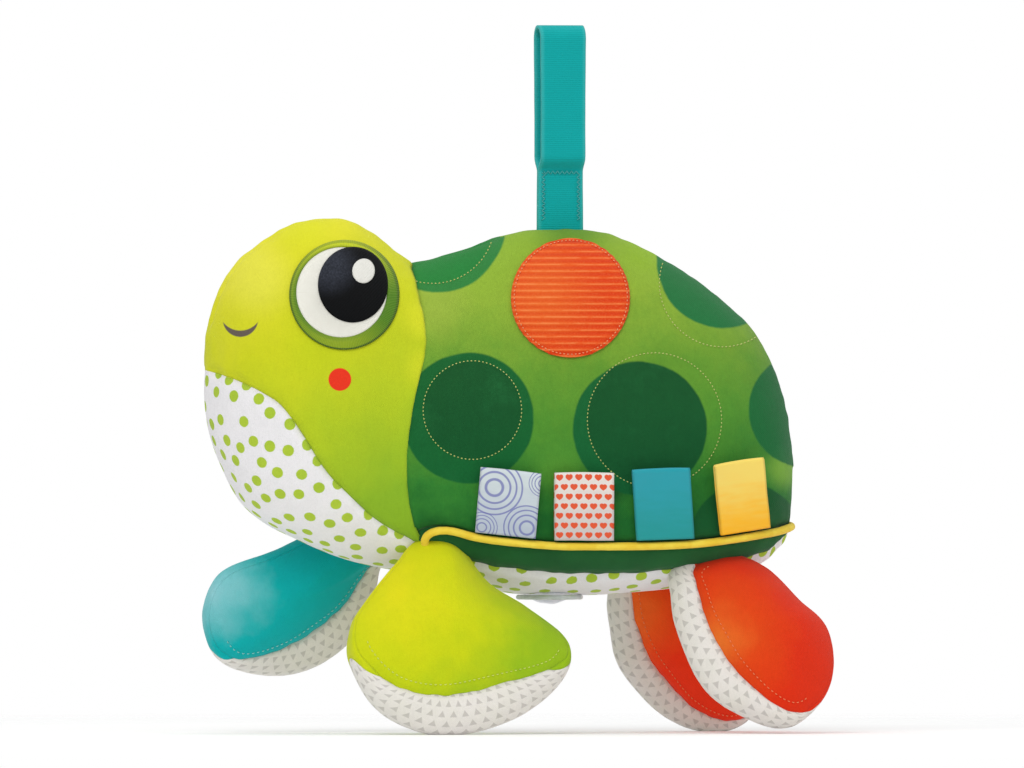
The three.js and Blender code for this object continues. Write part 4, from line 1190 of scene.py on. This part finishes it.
class Flipper:
    """A puffed paddle, as rows of points between its outer and inner middles."""

    def __init__(self, name, side, shares, splay, stands):
        self.hub = np.array(joint_of(f"{name}_flipper")["pos_m"])
        turn = math.radians(splay)
        self.axes = np.array([[1, 0, 0], [0, side * math.sin(turn), -math.cos(turn)],
                              [0, side * math.cos(turn), math.sin(turn)]])
        places = np.linspace(0, len(shares), COLUMNS, endpoint=False)
        curve = catmull(np.array(shares) * FLIPPER_REACH, places)
        self.edge, self.band = curve[:, :2], np.maximum(curve[:, [2]], GAP)
        self.half = np.maximum(curve[:, [3]], SKIN)
        self.centre = self.edge.mean(axis=0)
        tangent = np.roll(self.edge, -1, axis=0) - np.roll(self.edge, 1, axis=0)
        normal = unit(np.column_stack([tangent[:, 1], -tangent[:, 0]]))
        normal *= np.sign((normal * (self.edge - self.centre)).sum(axis=1, keepdims=True))
        for _ in range(6):
            normal = (np.roll(normal, 1, axis=0) + np.roll(normal, -1, axis=0) + normal) / 3
        self.normal = unit(normal)
        self.stretch = 1
        if stands:
            lowest = self.rows("band", np.linspace(0, 1, 17))[:, :, 2].min()
            self.stretch = (self.hub[2] - SOLE_Z + FLIPPER_FLAT) / (self.hub[2] - lowest)

    def row(self, kind, t):
        """One row: kind outer or inner runs from the middle, t 0, to the seam, t 1; band between them."""
        if kind == "band":
            flat = self.edge + self.normal * self.band * math.sin(math.pi * t)
            depth = self.half * math.cos(math.pi * t)
        else:
            t = np.broadcast_to(t, COLUMNS)[:, None]
            flat = self.centre + (self.edge - self.centre) * t
            depth = (self.half + (FLIPPER_PUFF - self.half) * (1 - t ** 2)) * (1 if kind == "outer" else -1)
        points = self.hub + np.hstack([flat, depth]) @ self.axes
        points[:, 2] = self.hub[2] - (self.hub[2] - points[:, 2]) * self.stretch
        return points

    def rows(self, kind, shares):
        return np.array([self.row(kind, t) for t in shares])


def make_flipper(name, cloths, slot, sole, stitched, **form):
    flipper = Flipper(name, **form)
    centre = (flipper.row("outer", 0) + flipper.row("inner", 0)).mean(axis=0) / 2
    start, end = [round(share * COLUMNS) for share in sole]
    along_sole = np.zeros(COLUMNS)
    along_sole[np.arange(start, end + 1) % COLUMNS] = 1
    for _ in range(4):
        along_sole = (np.roll(along_sole, 1) + along_sole * 2 + np.roll(along_sole, -1)) / 4
    tucks = FOLD_TUCK + (SEAM_TUCK - FOLD_TUCK) * along_sole
    around = np.arange(COLUMNS + 1) % COLUMNS
    pieces = []
    for part, node, columns in (("outer", "outer_panel", None), ("inner", "inner_panel", None),
                                ("rim", "side_strip", (end, start + COLUMNS)), ("sole", "sole", (start, end))):
        if columns:
            grid = flipper.rows("band", np.linspace(0, 1, 25))
            grid = np.dstack([grid, np.broadcast_to(tucks, grid.shape[:2])])
            grid = slanted(grid, *columns, 1 if part == "sole" else -1)
            grid = dress(grid[:, :, :3], centre, grid[:, :, 3], ("first row", "end"))
            lengths = flat_lengths(grid.transpose(1, 0, 2)).transpose(1, 0, 2)
        else:
            grid = flipper.rows(part, 1 - np.linspace(0, 1, 34) ** 1.2)[:, around]
            grid = dress(grid, centre, tucks[around], ("first row",))
            lengths = flat_lengths(grid)
        cloth, look = ("sole", "sole_print") if part == "sole" else (name, slot)
        piece = cover(f"{name}_{part}_cover", grid, cloths[cloth], centre, lengths=lengths)
        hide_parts(f"{name}_flipper_{node}")
        pieces.append(piece)
    fibre = flipper_fibre(f"{name}_fibre", flipper, centre, cloths["fibre"])
    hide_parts(f"{name}_flipper_filling")
    pieces.append(fibre)
    line = np.arange(start - stitched[0], end + stitched[1] + 1) % COLUMNS
    sewing = flipper_stitches(f"{name}_topstitch", flipper, line, centre, cloths[f"{name}_thread"])
    for piece in (*pieces, sewing):
        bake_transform(piece)


def slanted(grid, start, end, outwards):
    """The band's columns from start to end, its two ends drawn to points in the middle of the band."""
    rows, columns, kept = grid.shape
    wrapped = np.concatenate([grid, grid, grid[:, :1]], axis=1)
    made = np.zeros((rows, end - start + 1, kept))
    for r, t in enumerate(np.linspace(-1, 1, rows)):
        shift = outwards * (SOLE_SQUARE - (SOLE_POINT + SOLE_SQUARE) * math.cos(t * math.pi / 2))
        places = np.linspace(start + shift, end - shift, end - start + 1)
        places = np.where(places < 0, places + columns, places)
        for axis in range(kept):
            made[r, :, axis] = np.interp(places, np.arange(2 * columns + 1), wrapped[r, :, axis])
    return made


def dress(grid, centre, tucks, edges):
    """Seam tucks, puckers and soft swells on a paddle's cloth, which lies flat where it meets the floor."""
    height = sewn_height(grid, edge_distances(grid, edges), tucks / SEAM_TUCK, *FLIPPER_SEAMS)
    points = grid + unit(grid - centre) * height[:, :, None]
    points[:, :, 2] = np.maximum(points[:, :, 2], SOLE_Z)
    return points


def flipper_fibre(name, flipper, centre, material):
    grid = np.concatenate([flipper.rows("outer", np.linspace(0, 1, 12)),
                           flipper.rows("band", np.linspace(0, 1, 9)[1:-1]),
                           flipper.rows("inner", np.linspace(1, 0, 12))])[:, ::2]
    grid = centre + (grid - centre) * 0.88
    grid = np.concatenate([grid, grid[:, :1]], axis=1)
    mesh = close_mesh(lattice(grid, flat_lengths(grid), centre), 1e-5, holes=False)
    return object_from(mesh, name, material)


def flipper_stitches(name, flipper, columns, centre, material):
    """A dashed row of topstitching beside the sole, on both colour panels."""
    runs = []
    inset = 1 - STITCH_INSET / np.linalg.norm(flipper.edge - flipper.centre, axis=1)
    for kind in ("outer", "inner"):
        length, read = line_reader(flipper.row(kind, inset)[columns])

        def place(at, rise):
            spot = Vector(read(at * STITCH_PITCH)[0])
            return spot + (spot - Vector(centre)).normalized() * (0.15 * MM + 0.3 * MM * rise)

        runs += dashes(int(length / STITCH_PITCH), place)
    return stitches(name, runs, material, 0.22 * MM)


# Threads: material, colour, glint and the direction of their lines, each with its name in the script
THREADS = {
    "patch_thread": ("patch_thread", (246, 150, 96), (255, 186, 140)),
    "quilting_thread": ("quilting_thread", (186, 196, 96), (220, 222, 150)),
    "white": ("white_thread", (236, 234, 220), (255, 254, 246), 0, EYE_WHITE),
    "glint": ("glint_thread", (226, 224, 214), (250, 249, 244), 1.2),
    "strap_thread": ("strap_thread", (52, 170, 170), (104, 198, 196), 0.3),
    "front_left_thread": ("lime_thread", (206, 220, 96), (226, 236, 140)),
    "front_right_thread": ("teal_thread", (120, 206, 200), (176, 230, 224)),
    "rear_left_thread": ("orange_thread", (238, 120, 70), (255, 160, 110)),
    "rear_right_thread": ("orange_thread_far", (238, 120, 70), (255, 160, 110)),
}
# Ribbons: the colour at the fold with painted light, the colour at the foot with painted shade, and the print
RIBBONS = {
    "ring_ribbon": ((206, 216, 220), (180, 190, 206), ripple_pattern),
    "orange_ribbon": ((230, 222, 216), (206, 196, 194), heart_pattern),
    "teal_ribbon": ((22, 156, 170), (0, 150, 150)),
    "yellow_ribbon": ((250, 220, 102), (254, 190, 8)),
}


def make_cloths():
    return {
        "fibre": fibre_filling(), "shell": shell_print(), "rim": rim_print(), "head": head_print(),
        "dotted": dotted_cotton(), "sole": sole_print(), "corduroy": corduroy(),
        "eye_ring": eye_ring_thread(), "black": pupil_thread(), "foil": mirror_foil(),
        "velour": velour("teal_velour", (8, 178, 178), (2, 152, 150)),
        "piping": cord_material("piping_cord", (242, 216, 76), (234, 200, 58)),
        "binding": cord_material("binding_cord", (228, 232, 230), (196, 204, 202)),
        **{key: thread(*looks) for key, looks in THREADS.items()},
        **{name: satin(name, *looks) for name, looks in RIBBONS.items()},
        **{name: shaded_flipper_plush(name) for name in FLIPPERS},
    }


# The studio: a pale floor about the toy, and each lamp's place, size and power
FLOOR_REACH = 0.8
LAMPS = [("key", (-0.9, -1.3, 1.5), 1.2, 18), ("fill", (1.4, -1.2, 0.9), 1.4, 5),
         ("top", (0, 0.3, 1.8), 1.4, 8)]
AIM_HEIGHT = 0.12


def make_stage():
    """A pale floor that fades into the white background, and soft light."""
    mesh = bmesh.new()
    bmesh.ops.create_grid(mesh, x_segments=1, y_segments=1, size=FLOOR_REACH)
    bmesh.ops.translate(mesh, verts=mesh.verts, vec=(0, 0, SOLE_Z))
    cloth = Cloth("pale_floor", Roughness=0.9, Emission_Color=(1, 1, 1, 1), Emission_Strength=0.12)
    x, y, _ = cloth.parts(cloth.spot)
    away = (x * x + y * y).root()
    cloth.join(cloth.shader.inputs["Alpha"], 1 - cloth.step(away, FLOOR_REACH * 0.35, FLOOR_REACH))
    object_from(mesh, "floor", cloth.finish(ink(246, 246, 246), cloth.grain(0.3) * 0.05 + 0.85))
    world = bpy.data.worlds.new("studio")
    world.use_nodes = True
    nodes, links = world.node_tree.nodes, world.node_tree.links
    seen_by = nodes.new("ShaderNodeLightPath")
    strength = nodes.new("ShaderNodeMapRange")
    strength.inputs["To Min"].default_value, strength.inputs["To Max"].default_value = 0.56, 1.0
    links.new(seen_by.outputs["Is Camera Ray"], strength.inputs["Value"])
    links.new(strength.outputs[0], nodes["Background"].inputs["Strength"])
    nodes["Background"].inputs["Color"].default_value = (1, 1, 1, 1)
    bpy.context.scene.world = world
    for name, place, size, power in LAMPS:
        lamp = bpy.data.lights.new(name, "AREA")
        lamp.energy, lamp.size = power, size
        light = bpy.data.objects.new(name, lamp)
        light.location = Vector(place) + Vector((0, 0, SOLE_Z))
        aim = Vector((0, 0, SOLE_Z + AIM_HEIGHT)) - light.location
        light.rotation_euler = aim.to_track_quat("-Z", "Y").to_euler()
        bpy.context.scene.collection.objects.link(light)
    bpy.context.scene.view_settings.view_transform = "Standard"


def make_camera():
    """The photograph's view: from the left and a little ahead, level with the toy's middle."""
    u, z = seen(512, 384)
    camera = bpy.data.cameras.new("camera")
    camera.sensor_width = 36
    camera.lens = 36 * CAMERA_DISTANCE / (1024 * PIXEL)
    made = bpy.data.objects.new("camera", camera)
    made.location = ACROSS * u - LOOK * CAMERA_DISTANCE + Vector((0, 0, z))
    made.rotation_euler = LOOK.to_track_quat("-Z", "Y").to_euler()
    bpy.context.scene.collection.objects.link(made)
    bpy.context.scene.camera = made


make_camera()
make_stage()
cloths = make_cloths()
make_body(cloths)
make_piping(cloths)
make_eyes(cloths)
shell_tree = surface_tree("shell_cover_left")
make_patches(shell_tree, cloths)
make_quilting(shell_tree, cloths)
make_tags(cloths)
make_strap(cloths)
make_film(cloths)
for name, spec in FLIPPERS.items():
    make_flipper(name, cloths, **spec)
